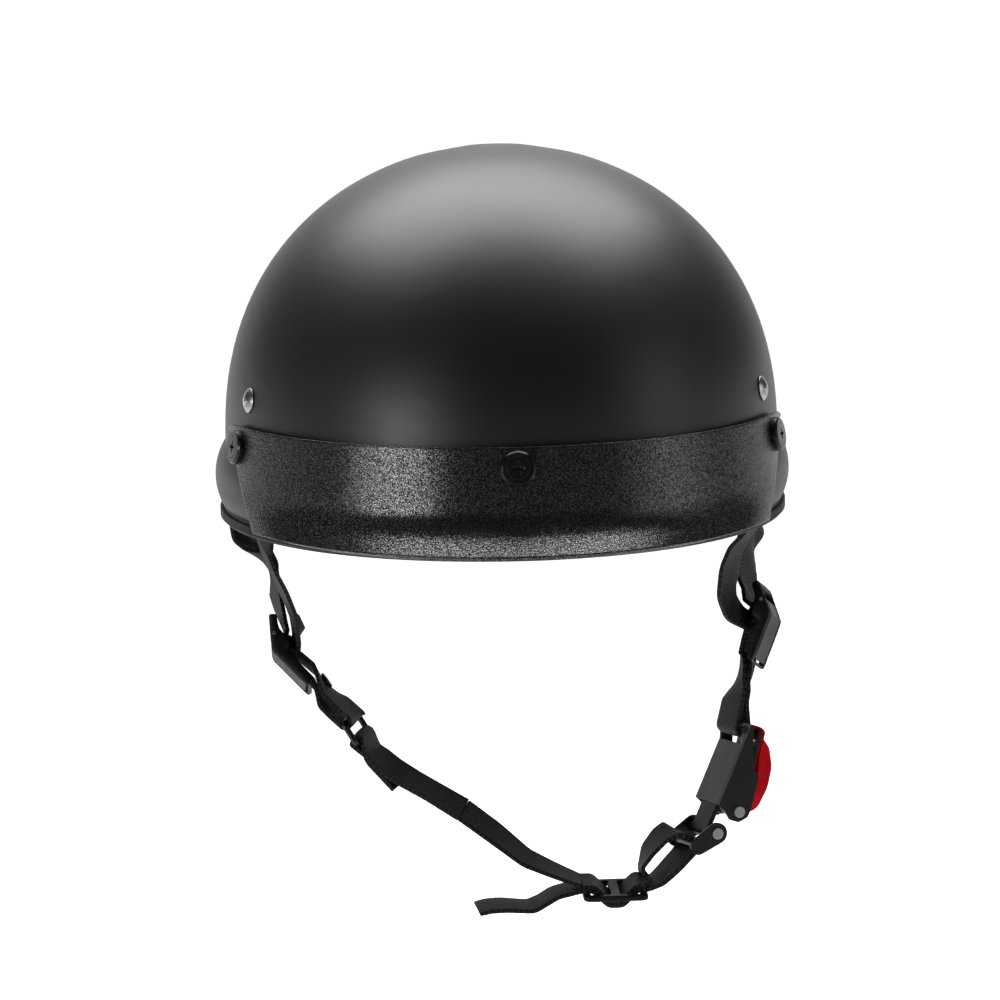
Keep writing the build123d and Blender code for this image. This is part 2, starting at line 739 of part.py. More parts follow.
def make_visor():
    """Visor moulding: upright band that hugs the shell, and a lip that reaches forward."""
    outer = [Pos(0, 0, z) * Ellipse(a, b) for z, a, b in visor_levels(0.0)]
    inner = [Pos(0, 0, z) * Ellipse(a, b) for z, a, b in visor_levels(visor_thickness)]
    body = loft(outer, ruled=True) - loft(inner, ruled=True)
    slope = (visor_corner_setback - visor_end_setback) / (visor_top_height - visor_corner_height)
    low = visor_lip_height - overrun
    low_y = -visor_end_setback - slope * (visor_top_height - low)
    front = -visor_lip_reach - overrun
    side_view = Polyline((0, front, low), (0, low_y, low), (0, -visor_end_setback, visor_top_height),
                         (0, front, visor_top_height), close=True)
    outline = make_face(side_view)
    corner = outline.vertices().sort_by_distance((0, -visor_end_setback, visor_top_height))[0]
    outline = fillet(corner, visor_end_radius)
    keep = extrude(outline, half_length + overrun, both=True)
    visor = body & keep
    for plane in screw_planes():
        visor -= peg(plane, screw_shank_radius + thread_gap, -overrun, overrun)
    return visor


def make_cups():
    """Cup washers under the visor screws."""
    cups = []
    for plane in screw_planes():
        low = cup_seat
        disc = peg(plane, cup_radius, low, low + cup_thickness)
        rim = disc.edges().sort_by_distance(plane.origin + plane.z_dir * overrun)[0]
        disc = chamfer(rim, cup_chamfer)
        well = peg(plane, screw_head_radius + thread_gap, low + cup_thickness - screw_head_height, overrun)
        bore = peg(plane, screw_shank_radius + thread_gap, -overrun, overrun)
        cups.append(disc - well - bore)
    return cups


def make_screws():
    """Visor screws with a cross recess in a flat head."""
    screws = []
    for plane in screw_planes():
        seat = cup_seat + cup_thickness - screw_head_height + thread_gap / 2
        top = seat + screw_head_height
        head = peg(plane, screw_head_radius, seat, top)
        shank = peg(plane, screw_shank_radius, top - screw_length, seat + screw_head_height / 2)
        recess = Box(recess_length, recess_width, 2 * recess_depth) + Box(recess_width, recess_length, 2 * recess_depth)
        screws.append(head + shank - plane.location * Pos(0, 0, top) * recess)
    return screws


def make_nuts():
    """Flanged nuts behind the shell that take the visor screws, the side ones behind the front straps."""
    nuts = []
    for side, plane in zip((-1, 0, 1), screw_planes()):
        top = -side_nut_depth if side else -centre_nut_depth
        flange = peg(plane, nut_flange_radius, top - nut_flange_thickness, top)
        barrel = peg(plane, nut_barrel_radius, top - nut_barrel_tail, top)
        bore = peg(plane, screw_shank_radius + thread_gap, -2 * overrun, overrun)
        nuts.append(flange + barrel - bore)
    return nuts


def pad_stock():
    """Layer of padding that lines the whole head cavity."""
    outer = cavity_curve(pad_gap)
    inner = cavity_curve(pad_gap + pad_thickness)
    low_out = ((outer @ 0).X, 0, pad_foot_height)
    low_in = ((inner @ 0).X, 0, pad_foot_height)
    edges = [outer, Line(outer @ 0, low_out), Line(low_out, low_in), Line(low_in, inner @ 0), inner,
             Line(inner @ 1, outer @ 1)]
    return turned(make_face(Wire(edges)))


def make_pads():
    """Comfort pads cut from one lining layer: brow, nape, two sides and the crown."""
    stock = pad_stock()
    band_top = pad_foot_height + pad_band_height
    reach = half_length
    low = pad_foot_height - overrun
    middle = (low + band_top) / 2
    tall = band_top - low
    brow = stock & Pos(0, -reach / 2, middle) * Box(2 * brow_pad_half_width, reach, tall)
    nape = stock & Pos(0, reach / 2, middle) * Box(2 * nape_pad_half_width, reach, tall)
    gate = brow_pad_half_width + pad_split
    pads = {"brow_pad": brow, "nape_pad": nape}
    for name, side in (("side_pad_left", -1), ("side_pad_right", 1)):
        block = Pos(side * (gate + half_width / 2), 0, middle) * Box(half_width, 2 * side_pad_half_length, tall)
        pads[name] = stock & block
    plug = Pos(0, 0, crown_height) * Cylinder(crown_pad_half_width, crown_height)
    stretch = crown_pad_half_length / crown_pad_half_width
    pads["crown_pad"] = stock & scale(plug, by=(1, stretch, 1))
    return pads


def buckle_axes():
    """Directions of the buckle: down its channel, along its pins toward the front, and out from the base plate."""
    down = Vector(*buckle_direction).normalized()
    wide = Vector(*buckle_width_direction)
    wide = (wide - down * wide.dot(down)).normalized()
    return down, wide, wide.cross(down)


def buckle_point(along, rise, across=0.0):
    """Place in the buckle by its distance down the channel, out from the base plate and toward the front."""
    down, wide, out = buckle_axes()
    return share_place(buckle_shares) + down * along + out * rise + wide * across


def buckle_plane():
    """Plane of the buckle's side view: X down the channel, Y out from the base plate, Z along its pins."""
    down, wide, out = buckle_axes()
    return Plane(origin=share_place(buckle_shares), x_dir=down, z_dir=down.cross(out))


def buckle_slab(profile, low, high):
    """Plate of the buckle cut from a side view, between two places along the pins."""
    return buckle_plane().location * slab(profile, low, high)


def buckle_pin(along, rise, radius, low, high):
    """Round bar across the buckle."""
    return buckle_plane().location * Pos(along, rise, (low + high) / 2) * Cylinder(radius, high - low)


def make_buckle_body():
    """Folded steel body: a base plate between two side walls, with holes for the bar and the lever's pin."""
    half = buckle_inner_width / 2
    points = [(along * buckle_length, rise * buckle_wall_height) for along, rise in buckle_wall_length_shares]
    outline = make_face(Polyline((0, 0), *points, close=True))
    outline = fillet([v for v in outline.vertices() if v.X > 0 and v.Y > buckle_wall], buckle_ear_radius)
    body = buckle_slab(outline, half, half + buckle_wall) + buckle_slab(outline, -half - buckle_wall, -half)
    base = make_face(Polyline((0, 0), (buckle_length, 0), (buckle_length, buckle_wall), (0, buckle_wall), close=True))
    body += buckle_slab(base, -half - buckle_wall / 2, half + buckle_wall / 2)
    wide = half + overrun
    body -= buckle_pin(lever_pivot_along, lever_pivot_rise, lever_pin_radius + pin_gap, -wide, wide)
    body -= buckle_pin(-buckle_bar_back, -buckle_bar_sink, buckle_bar_radius + pin_gap, -wide, wide)
    return body


def make_buckle_bar():
    """Bar at the top of the buckle that the right loop folds round."""
    half = buckle_inner_width / 2 + buckle_wall
    return buckle_pin(-buckle_bar_back, -buckle_bar_sink, buckle_bar_radius, -half, half)


def make_rivet_pin(along, rise, half):
    """Headed pin across the buckle."""
    pin = buckle_pin(along, rise, lever_pin_radius, -half - pin_head_height, half + pin_head_height)
    for side in (-1, 1):
        low = side * (half + seat_gap)
        high = side * (half + seat_gap + pin_head_height)
        pin += buckle_pin(along, rise, pin_head_radius, min(low, high), max(low, high))
    return pin


def make_lever():
    """Release lever: a plate from its pivot to the finger end, with a pawl that hooks behind the tongue."""
    half = buckle_inner_width / 2 - lever_side_gap
    thick = lever_thickness
    arm = Polyline((lever_pivot_along, lever_pivot_rise + lever_boss_radius - thick),
                   (lever_pivot_along, lever_pivot_rise + lever_boss_radius),
                   (lever_tip_along, lever_tip_rise + thick), (lever_tip_along, lever_tip_rise), close=True)
    lever = buckle_slab(make_face(arm), -half, half)
    lever += buckle_pin(lever_pivot_along, lever_pivot_rise, lever_boss_radius, -half, -half / 2)
    lever += buckle_pin(lever_pivot_along, lever_pivot_rise, lever_boss_radius, half / 2, half)
    lever -= buckle_pin(lever_pivot_along, lever_pivot_rise, spring_well_radius, -half / 2, half / 2)
    low = buckle_wall + tongue_lift + tongue_thickness + pawl_gap
    pawl = Polyline((pawl_along - pawl_width / 2, low), (pawl_along + pawl_width / 2, low),
                    (pawl_along + pawl_width, lever_pivot_rise), (pawl_along - pawl_width, lever_pivot_rise),
                    close=True)
    lever += buckle_slab(make_face(pawl), -half / 2, half / 2)
    lever -= buckle_pin(lever_pivot_along, lever_pivot_rise, lever_pin_radius + pin_gap, -half - overrun, half + overrun)
    slot = Box(lever_slot_width, overrun, lever_slot_length)
    slot_along = lever_tip_along + lever_slot_margin + lever_slot_width / 2
    lever -= buckle_plane().location * Pos(slot_along, lever_tip_rise, 0) * slot
    return lever


def make_spring():
    """Torsion spring round the lever's pin."""
    path = Helix(pitch=spring_pitch, height=spring_pitch * spring_turns, radius=spring_coil_radius)
    section = Plane(origin=path @ 0, z_dir=path % 0) * Circle(spring_wire_radius)
    coil = sweep(section, path=path, is_frenet=True)
    return buckle_plane().location * Pos(lever_pivot_along, lever_pivot_rise, -spring_pitch * spring_turns / 2) * coil


def make_tongue():
    """Sliding tongue with its pawl window and the eye for the bracket's pin."""
    low = buckle_wall + tongue_lift
    high = low + tongue_thickness
    half = tongue_width / 2
    plate = Polyline((tongue_start_along, low), (bracket_pin_along, low), (bracket_pin_along, high),
                     (tongue_start_along, high), close=True)
    tongue = buckle_slab(make_face(plate), -half, half)
    tongue += buckle_pin(bracket_pin_along, bracket_pin_rise, tongue_eye_radius, -tongue_eye_half_width,
                         tongue_eye_half_width)
    window = Box(tongue_window, 2 * tongue_thickness, tongue_width / 2 + 2 * pawl_gap)
    tongue -= buckle_plane().location * Pos(pawl_along, (low + high) / 2, 0) * window
    wide = tongue_eye_half_width + overrun
    tongue -= buckle_pin(bracket_pin_along, bracket_pin_rise, lever_pin_radius + pin_gap, -wide, wide)
    return tongue


def bracket_half():
    """Half of the bracket's inside width: outside the buckle's walls with clearance."""
    return buckle_inner_width / 2 + buckle_wall + bracket_gap


def make_bracket():
    """Strap bracket: two ears on the tongue's pin, joined by the bar that the chin webbing loops round."""
    half = bracket_half()
    pin_end = Pos(bracket_pin_along, bracket_pin_rise) * Circle(bracket_ear_radius)
    bar_end = Pos(bracket_bar_along, bracket_bar_rise) * Circle(bracket_bar_ear_radius)
    hull = make_hull(pin_end.edges() + bar_end.edges())
    bracket = buckle_slab(hull, half, half + bracket_wall) + buckle_slab(hull, -half - bracket_wall, -half)
    bracket += buckle_pin(bracket_bar_along, bracket_bar_rise, bracket_bar_radius, -half - bracket_wall / 2,
                          half + bracket_wall / 2)
    wide = half + overrun
    bracket -= buckle_pin(bracket_pin_along, bracket_pin_rise, lever_pin_radius + pin_gap, -wide, wide)
    return bracket


def make_tab():
    """Red ribbon sewn round the bar at the lever's finger end, with its grip hanging outboard."""
    slot = lever_tip_along + lever_slot_margin + lever_slot_width / 2
    low = lever_tip_rise - tab_thickness
    high = lever_tip_rise + lever_thickness + 2 * tab_thickness
    back = lever_tip_along - tab_thickness
    ring = Polyline((slot, high), (slot, low), (back, low), (back, high), close=True)
    loop = trace(ring, tab_thickness)
    route = [(along * buckle_length, rise * buckle_wall_height) for along, rise in tab_route_shares]
    grip = trace(Polyline(((slot + back) / 2, high), *route), 2 * tab_thickness)
    return buckle_slab(loop, -tab_width / 2, tab_width / 2) + buckle_slab(grip, -tab_width / 2, tab_width / 2)


def glide_plane():
    """Plane of the three-bar slide: X along the strap, Y toward the rear, Z up."""
    lean = math.radians(glide_lean)
    along = Vector(math.cos(lean), 0, math.sin(lean))
    up = Vector(-math.sin(lean), 0, math.cos(lean))
    return Plane(origin=share_place(glide_shares), x_dir=along, z_dir=up)


def make_glide():
    """Three-bar slide with two slots."""
    wide = webbing_width + 2 * glide_slot_margin + 2 * glide_rail
    slot_length = (glide_length - 2 * glide_side_bar - glide_centre_bar) / 2
    plate = extrude(RectangleRounded(glide_length, wide, glide_corner_radius), glide_thickness / 2, both=True)
    for side in (-1, 1):
        slot = Box(slot_length, webbing_width + 2 * glide_slot_margin, glide_thickness + overrun)
        plate -= Pos(side * (glide_centre_bar + slot_length) / 2, 0, 0) * slot
    return glide_plane().location * plate


def glide_rows(layer):
    """Rows of a webbing layer through the slide: above its side bars and below its centre bar."""
    top = glide_thickness / 2 + layer_gap + webbing_half
    level = glide_length / 2 - glide_side_bar - glide_thickness / 2
    level -= math.sqrt(2) * (webbing_half + layer_gap + glide_bend_gap + (0 if layer else layer_pitch))
    high = top if layer else top + layer_pitch
    low = -top - layer_pitch if layer else -top
    half = glide_length / 2
    spots = [(-half, high), (-(level + high), high), (-(level + low), low), (level + low, low),
             (level + high, high), (half, high)]
    plane = glide_plane()
    return [(plane.from_local_coords(Vector(x, 0, z)), Vector(0, -1, 0), True) for x, z in spots]


def chin_sections():
    """Sections of the chin webbing from the cut end of its fold to its free tip, with the three nodes' shares."""
    centre, down, bar = ring_axes()
    low_bar = centre + down * ring_bar_spacing
    radius = ring_wire_radius + fold_gap + webbing_half
    wrap = fold_rows(low_bar, bar, down * -1, radius, -90, 90, 2 * fold_steps)
    main = free_rows(chin_shares)
    heading = (main[1][0] - main[0][0]).normalized()
    under = heading.cross(main[0][1]).normalized()
    under = under if under.Z < 0 else under * -1
    back = main[0][0] + under * layer_pitch
    fold_end = (back + heading * chin_fold_length, main[1][1], False)
    strap = [fold_end, (back, main[0][1], False)] + wrap + main
    centre = buckle_point(bracket_bar_along, bracket_bar_rise)
    radius = bracket_bar_radius + fold_gap + webbing_half
    wide = buckle_axes()[1]
    turn = fold_rows(centre, wide, Vector(*loop_direction), radius, loop_start_angle, loop_end_angle, 2 * fold_steps)
    lower = free_rows(lower_loop_shares)
    lower.reverse()
    back = glide_rows(1)
    back.reverse()
    loop = glide_rows(0) + free_rows(upper_loop_shares) + turn + lower + back
    tail = free_rows(tail_shares) + [(share_place(tail_end_shares), Vector(0, -1, 0), False)]
    sections = band(strap + loop + tail)
    first = len(strap)
    last = first + len(loop) - 1
    return sections[:first + 1], sections[first:last + 1], sections[last:]


def make_snap():
    """Snap stud through the upper layer of the left loop."""
    place, across, held = free_rows(left_front_loop_shares)[0]
    before = divider_rows(-1, 0)[-1][0]
    normal = across.cross((place - before).normalized())
    normal = normal if normal.Z > 0 else normal * -1
    plane = Plane(origin=(place + before) / 2, z_dir=normal)
    low = webbing_half + snap_lift
    return peg(plane, snap_radius, low, low + snap_thickness)


def write(name, shape):
    """Write one piece, or a group of separate pieces, to its own file."""
    if isinstance(shape, list):
        shape = Compound(children=[s for s in shape])
    export_step(shape, f"parts/{name}.step")


def main():
    """Make every piece of the helmet."""
    os.makedirs("parts", exist_ok=True)
    write("outer_shell", make_shell())
    write("eps_liner", make_liner())
    write("edge_trim", make_edging())
    write("visor", make_visor())
    write("cup_washers", make_cups())
    write("visor_screws", make_screws())
    write("t_nuts", make_nuts())
    write("strap_rivets", make_rivets())
    write("rivet_washers", make_washers())
    for name, pad in make_pads().items():
        write(name, pad)
    for name, side in (("left", -1), ("right", 1)):
        front_strap, rear_strap = side_straps(side)
        write(f"front_strap_{name}", front_strap)
        write(f"rear_strap_{name}", rear_strap)
        write(f"divider_{name}", make_divider(side))
        write(f"divider_pin_{name}", make_divider_pin(side))
        write(f"divider_flap_{name}", make_flap(side))
    write("wire_ring", make_ring())
    write("strap_snap", make_snap())
    for name, sections in zip(("chin_strap", "chin_loop", "strap_tail"), chin_sections()):
        write(name, loft(sections, ruled=True))
    write("tri_glide", make_glide())
    write("buckle_body", make_buckle_body())
    write("buckle_bar", make_buckle_bar())
    lever_half = buckle_inner_width / 2 + buckle_wall
    write("lever_pin", make_rivet_pin(lever_pivot_along, lever_pivot_rise, lever_half))
    write("release_lever", make_lever())
    write("lever_spring", make_spring())
    write("tongue", make_tongue())
    write("strap_bracket", make_bracket())
    write("bracket_pin", make_rivet_pin(bracket_pin_along, bracket_pin_rise, bracket_half() + bracket_wall))
    write("pull_tab", make_tab())


main()
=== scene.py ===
"""Looks of a half shell motorcycle helmet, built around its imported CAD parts.

The helmet's front faces -Y, +X is on the right of someone who looks at the front, and +Z is up.
All lengths are metres.
"""
import logging
import math
from collections.abc import Callable
from dataclasses import dataclass, field
from enum import Enum

import bpy
import numpy as np
from mathutils import Matrix, Vector


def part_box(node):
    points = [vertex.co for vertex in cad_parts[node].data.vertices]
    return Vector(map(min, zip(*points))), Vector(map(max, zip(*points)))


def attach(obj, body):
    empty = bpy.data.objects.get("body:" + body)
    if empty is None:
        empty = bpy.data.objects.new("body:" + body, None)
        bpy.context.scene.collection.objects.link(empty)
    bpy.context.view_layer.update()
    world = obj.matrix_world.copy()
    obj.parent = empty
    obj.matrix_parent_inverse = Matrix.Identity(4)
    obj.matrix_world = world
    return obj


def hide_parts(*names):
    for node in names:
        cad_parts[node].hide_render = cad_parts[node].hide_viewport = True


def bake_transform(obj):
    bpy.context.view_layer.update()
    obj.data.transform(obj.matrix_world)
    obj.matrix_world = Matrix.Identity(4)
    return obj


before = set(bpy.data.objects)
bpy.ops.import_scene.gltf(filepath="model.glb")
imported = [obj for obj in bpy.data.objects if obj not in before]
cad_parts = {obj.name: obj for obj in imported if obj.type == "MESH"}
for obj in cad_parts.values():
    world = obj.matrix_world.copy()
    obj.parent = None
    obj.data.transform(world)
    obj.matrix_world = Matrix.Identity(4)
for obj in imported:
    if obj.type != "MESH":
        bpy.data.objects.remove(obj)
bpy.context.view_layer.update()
LOG = logging.getLogger("helmet")

# Names of types, with a point for a place or a direction.
Piece = bpy.types.Object
Material = bpy.types.Material
Socket = bpy.types.NodeSocket
Point = tuple[float, float, float]
Pair = tuple[float, float]
Colour = tuple[float, float, float, float]

# Edges that turn by more than this angle are rounded.
SHARP_ANGLE = math.radians(50)
# Vertices of a CAD node's copy nearer than this are one vertex.
JOIN_DISTANCE = 1e-5

# Middle of the buckle's upper end and the directions along it, across it and away from the chin.
BUCKLE_ORIGIN = (0.0888, -0.0435, -0.0930)
BUCKLE_DOWN = (-0.409959, -0.19998, -0.889911)
BUCKLE_WIDE = (0.281875, -0.955687, 0.084909)
BUCKLE_OUTWARD = tuple(Vector(BUCKLE_WIDE).cross(Vector(BUCKLE_DOWN)).normalized())

# Stretches of each length of webbing: the direction of its width in thousandths, and the places of its
# middle line that share it, in hundredths of a millimetre.
Stretch = tuple[tuple[int, int, int], tuple[tuple[int, int, int], ...]]
ROUTE_UNITS = (1e5, 1e5, 1e5, 1e3, 1e3, 1e3)
ROUTES: dict[str, tuple[Stretch, ...]] = {
    "front_strap_left": (
        ((360, -933, 0), ((-9505, -5293, 5985), (-9679, -5389, 4751), (-9748, -5428, 3507),
        (-9753, -5431, 2230), (-9753, -5431, 940), (-9753, -5431, -350))),
        ((257, -909, -328), ((-9774, -5307, -600),)), ((279, -925, -257), ((-9526, -5065, -1425),)),
        ((312, -875, -371), ((-9176, -4688, -2175),)), ((366, -798, -479), ((-8870, -4041, -3225),)),
        ((201, -699, -687), ((-8656, -3233, -4200),)), ((15, -940, 342), ((-8666, -2350, -4910),
        (-9083, -2450, -5168), (-9159, -2484, -5257), (-9166, -2525, -5371), (-9101, -2560, -5468),
        (-8988, -2574, -5512), (-8542, -2605, -5617), (-7809, -2818, -6237))),
        ((-156, -988, 0), ((-7198, -3529, -7065),)), ((-205, -979, -4), ((-6302, -4244, -7827),
        (-6270, -4250, -7913), (-6274, -4249, -8005), (-6311, -4241, -8088), (-6377, -4227, -8150))),
    ),
    "rear_strap_left": (
        ((-190, -982, 0), ((-10203, 2851, 5987), (-10391, 2903, 4752), (-10465, 2924, 3508),
        (-10470, 2926, 2230), (-10470, 2926, 940), (-10470, 2926, -350))),
        ((-600, -448, 663), ((-10678, 1818, -1125),)), ((-772, -531, 351), ((-10340, 835, -1620),)),
        ((-646, -637, 420), ((-9989, 202, -1980),)), ((-212, -626, 750), ((-9605, -404, -2370),)),
        ((143, -665, 733), ((-9492, -902, -2760),)), ((99, -783, 614), ((-9334, -1495, -3450),)),
        ((21, -861, 508), ((-9085, -2020, -4260),)), ((15, -940, 342), ((-8932, -2340, -4872),
        (-9182, -2400, -5026), (-9321, -2459, -5182), (-9346, -2533, -5385), (-9249, -2598, -5568),
        (-9061, -2633, -5672), (-8541, -2784, -6109), (-7826, -3036, -6835))),
        ((-208, -978, 0), ((-7266, -3610, -7575),)), ((-205, -979, -4), ((-6693, -4161, -8073),
        (-6632, -4174, -8140), (-6551, -4190, -8179), (-6461, -4209, -8182), (-6377, -4227, -8150))),
    ),
    "front_strap_right": (
        ((-360, -933, 0), ((9505, -5293, 5985), (9679, -5389, 4751), (9748, -5428, 3507), (9753, -5431, 2230),
        (9753, -5431, 940), (9753, -5431, -350))), ((-455, -890, -29), ((9209, -5038, -1080),)),
        ((-474, -872, -123), ((8904, -4930, -1800),)), ((-479, -724, -496), ((8825, -4580, -2655),)),
        ((-300, -570, -765), ((9040, -3799, -3480),)), ((234, -573, -785), ((9435, -3004, -4080),)),
        ((-284, -904, 319), ((9896, -2284, -4353), (10362, -2453, -4417), (10462, -2502, -4467),
        (10508, -2552, -4568), (10483, -2585, -4683), (10396, -2588, -4769), (9985, -2544, -5010),
        (9779, -2710, -5662), (9608, -2890, -6325))), ((-70, -998, 0), ((9334, -3610, -6900),)),
        ((242, -970, 0), ((9074, -3987, -7590),)), ((282, -956, 85), ((8798, -4313, -8596),
        (8773, -4330, -8701), (8788, -4335, -8809), (8842, -4327, -8903), (8926, -4308, -8970))),
    ),
    "rear_strap_right": (
        ((190, -982, 0), ((10203, 2851, 5987), (10391, 2903, 4752), (10465, 2924, 3508), (10470, 2926, 2230),
        (10470, 2926, 940), (10470, 2926, -350))), ((-401, -577, 711), ((10735, 2128, -1155),)),
        ((-37, -507, 861), ((10509, 1401, -1635),)), ((-240, -447, 862), ((10260, 606, -2070),)),
        ((-440, -495, 749), ((10046, -94, -2535),)), ((-475, -558, 681), ((9967, -795, -3180),)),
        ((-486, -527, 697), ((10000, -1482, -3705),)), ((-284, -904, 319), ((10122, -2305, -4210),
        (10402, -2406, -4248), (10582, -2493, -4333), (10676, -2584, -4507), (10652, -2649, -4713),
        (10518, -2667, -4884), (10147, -2669, -5218), (9971, -2810, -5776), (9800, -2991, -6440))),
        ((-70, -998, 0), ((9537, -3624, -6969),)), ((242, -970, 0), ((9261, -3941, -7686),)),
        ((282, -956, 85), ((9284, -4192, -8847), (9222, -4218, -8933), (9132, -4249, -8986),
        (9028, -4281, -8999), (8926, -4308, -8970))),
    ),
    "chin_strap": (
        ((-360, -928, -93), ((-4476, -4891, -10535),)), ((-354, -934, 45), ((-5539, -4581, -9523),)),
        ((-205, -979, -4), ((-5815, -4343, -8637), (-5876, -4331, -8570), (-5957, -4314, -8531),
        (-6047, -4295, -8528), (-6131, -4277, -8560), (-6197, -4263, -8622), (-6235, -4255, -8705),
        (-6238, -4254, -8797), (-6207, -4260, -8883))), ((-345, -938, 15), ((-5424, -4620, -9390),)),
        ((-324, -940, -103), ((-4825, -4795, -9960),)), ((-287, -955, -81), ((-3978, -4997, -10455),)),
        ((-262, -961, -88), ((-3220, -5199, -10875),)), ((-252, -958, -136), ((-2045, -5401, -11595),)),
        ((-249, -961, -117), ((-791, -5604, -12540),)), ((-172, -982, -78), ((429, -5806, -13545),)),
        ((-100, -994, -33), ((1458, -5900, -14025),)), ((0, -1000, 0), ((2644, -5994, -14540),)),
    ),
    "chin_loop": (
        ((0, -1000, 0), ((2644, -5994, -14540), (3102, -5994, -14540), (3722, -5994, -15160),
        (4165, -5994, -15160), (4785, -5994, -14540), (5244, -5994, -14540))),
        ((13, -963, 268), ((5062, -5806, -14070),)), ((136, -988, 73), ((5379, -5698, -13395),)),
        ((182, -983, 19), ((5876, -5604, -12840),)), ((308, -951, -8), ((6396, -5496, -12585),)),
        ((282, -956, 85), ((6895, -5264, -12981), (7002, -5231, -12966), (7106, -5203, -12999),
        (7188, -5186, -13074), (7232, -5182, -13178), (7231, -5192, -13290), (7184, -5215, -13390),
        (7101, -5246, -13458), (6996, -5279, -13483))), ((323, -936, 138), ((6272, -5765, -14100),)),
        ((170, -983, 63), ((5706, -5927, -14580),)), ((0, -1000, 0), ((5244, -5994, -14720),
        (4860, -5994, -14720), (4240, -5994, -15340), (3648, -5994, -15340), (3028, -5994, -14720),
        (2644, -5994, -14720))),
    ),
    "strap_tail": (
        ((0, -1000, 0), ((2644, -5994, -14720),)), ((129, -991, 48), ((1548, -6102, -14955),)),
        ((162, -984, 79), ((1085, -6196, -15210),)), ((137, -990, 20), ((554, -6304, -15435),)),
        ((131, -991, -5), ((-565, -6398, -15315),)), ((134, -991, 8), ((-1164, -6506, -15315),)),
        ((88, -996, 18), ((-1605, -6546, -15405),)),
    ),
}


class Side(Enum):
    """The two sides of the helmet, with the sign of X there."""

    LEFT = -1
    RIGHT = 1


class NodeSheet:
    """A material's node tree, with short calls that add nodes and join them."""

    def __init__(self, name: str) -> None:
        """Starts an empty material with its main shader.

        Args:
            name: Name of the material.
        """
        self.material = bpy.data.materials.new(name)
        self.material.use_nodes = True
        self.tree = self.material.node_tree
        self.shader = self.tree.nodes["Principled BSDF"]

    @classmethod
    def of_world(cls, world: bpy.types.World) -> "NodeSheet":
        """Starts a sheet over a world's nodes.

        Args:
            world: World whose background is dressed.

        Returns:
            The sheet, with the background as its main shader.
        """
        sheet = cls.__new__(cls)
        sheet.material = None
        sheet.tree = world.node_tree
        sheet.shader = world.node_tree.nodes["Background"]
        return sheet

    def add(self, kind: str, inputs: dict | None = None, **settings: object) -> bpy.types.Node:
        """Adds a node.

        Args:
            kind: Blender's name of the node type.
            inputs: Input name or number to a constant or to another node's output.
            **settings: Properties of the node itself.

        Returns:
            The new node.
        """
        node = self.tree.nodes.new(kind)
        for key, value in settings.items():
            setattr(node, key, value)
        for key, value in (inputs or {}).items():
            self.feed(node.inputs[key], value)
        return node

    def feed(self, socket: Socket, value: object) -> None:
        """Sets a socket.

        Args:
            socket: Input of a node.
            value: Constant, or another node's output, which is linked to it.
        """
        if isinstance(value, Socket):
            self.tree.links.new(value, socket)
        else:
            socket.default_value = value

    def coords(self, kind: str = "Object") -> Socket:
        """Output of the texture coordinates of that kind."""
        return self.add("ShaderNodeTexCoord").outputs[kind]

    def noise(self, vector: Socket, scale: float, detail: float = 3.0) -> Socket:
        """Value of a noise texture over a vector."""
        return self.add("ShaderNodeTexNoise", {"Vector": vector, "Scale": scale, "Detail": detail}).outputs["Fac"]

    def spread(self, value: Socket, low: float, high: float,
               start: float = 0.3, end: float = 0.7) -> Socket:
        """Maps a value from start..end to low..high, clamped."""
        return self.add("ShaderNodeMapRange", {"Value": value, "From Min": start, "From Max": end,
                                               "To Min": low, "To Max": high}).outputs["Result"]

    def math(self, operation: str, first: object, second: object = 0.0) -> Socket:
        """Result of a math node on one or two values."""
        return self.add("ShaderNodeMath", {0: first, 1: second}, operation=operation).outputs[0]

    def blend(self, share: object, first: object, second: object) -> Socket:
        """Mixes two colours.

        Args:
            share: Share of the second colour.
            first: Colour at a share of zero.
            second: Colour at a share of one.

        Returns:
            The mixed colour.
        """
        node = self.add("ShaderNodeMix", data_type="RGBA")
        self.feed(node.inputs[0], share)
        self.feed(node.inputs[6], first)
        self.feed(node.inputs[7], second)
        return node.outputs[2]

    def bump(self, height: Socket, depth: float, strength: float, normal: Socket | None = None) -> Socket:
        """Raises a height pattern.

        Args:
            height: Pattern from zero to one.
            depth: Height of the pattern in metres.
            strength: Share of its slope that is shown.
            normal: Normal that the pattern lies on, or none for the surface's own.

        Returns:
            The normal of the raised surface.
        """
        inputs = {"Height": height, "Distance": depth, "Strength": strength}
        if normal is not None:
            inputs["Normal"] = normal
        return self.add("ShaderNodeBump", inputs).outputs["Normal"]

    def edge(self, radius: float) -> Socket:
        """Normal that rounds sharp edges by a radius."""
        return self.add("ShaderNodeBevel", {"Radius": radius}, samples=6).outputs["Normal"]

    def dress(self, **inputs: object) -> Material:
        """Sets the main shader's inputs.

        Args:
            **inputs: Input name, with underscores for spaces, to a constant or another node's output.

        Returns:
            The dressed material.
        """
        for key, value in inputs.items():
            self.feed(self.shader.inputs[key.replace("_", " ")], value)
        return self.material


def grey(level: float, warm: float = 0.0) -> Colour:
    """Grey of a linear level, a little warmer where warm is above zero."""
    return (level * (1 + warm), level, level * (1 - warm), 1.0)


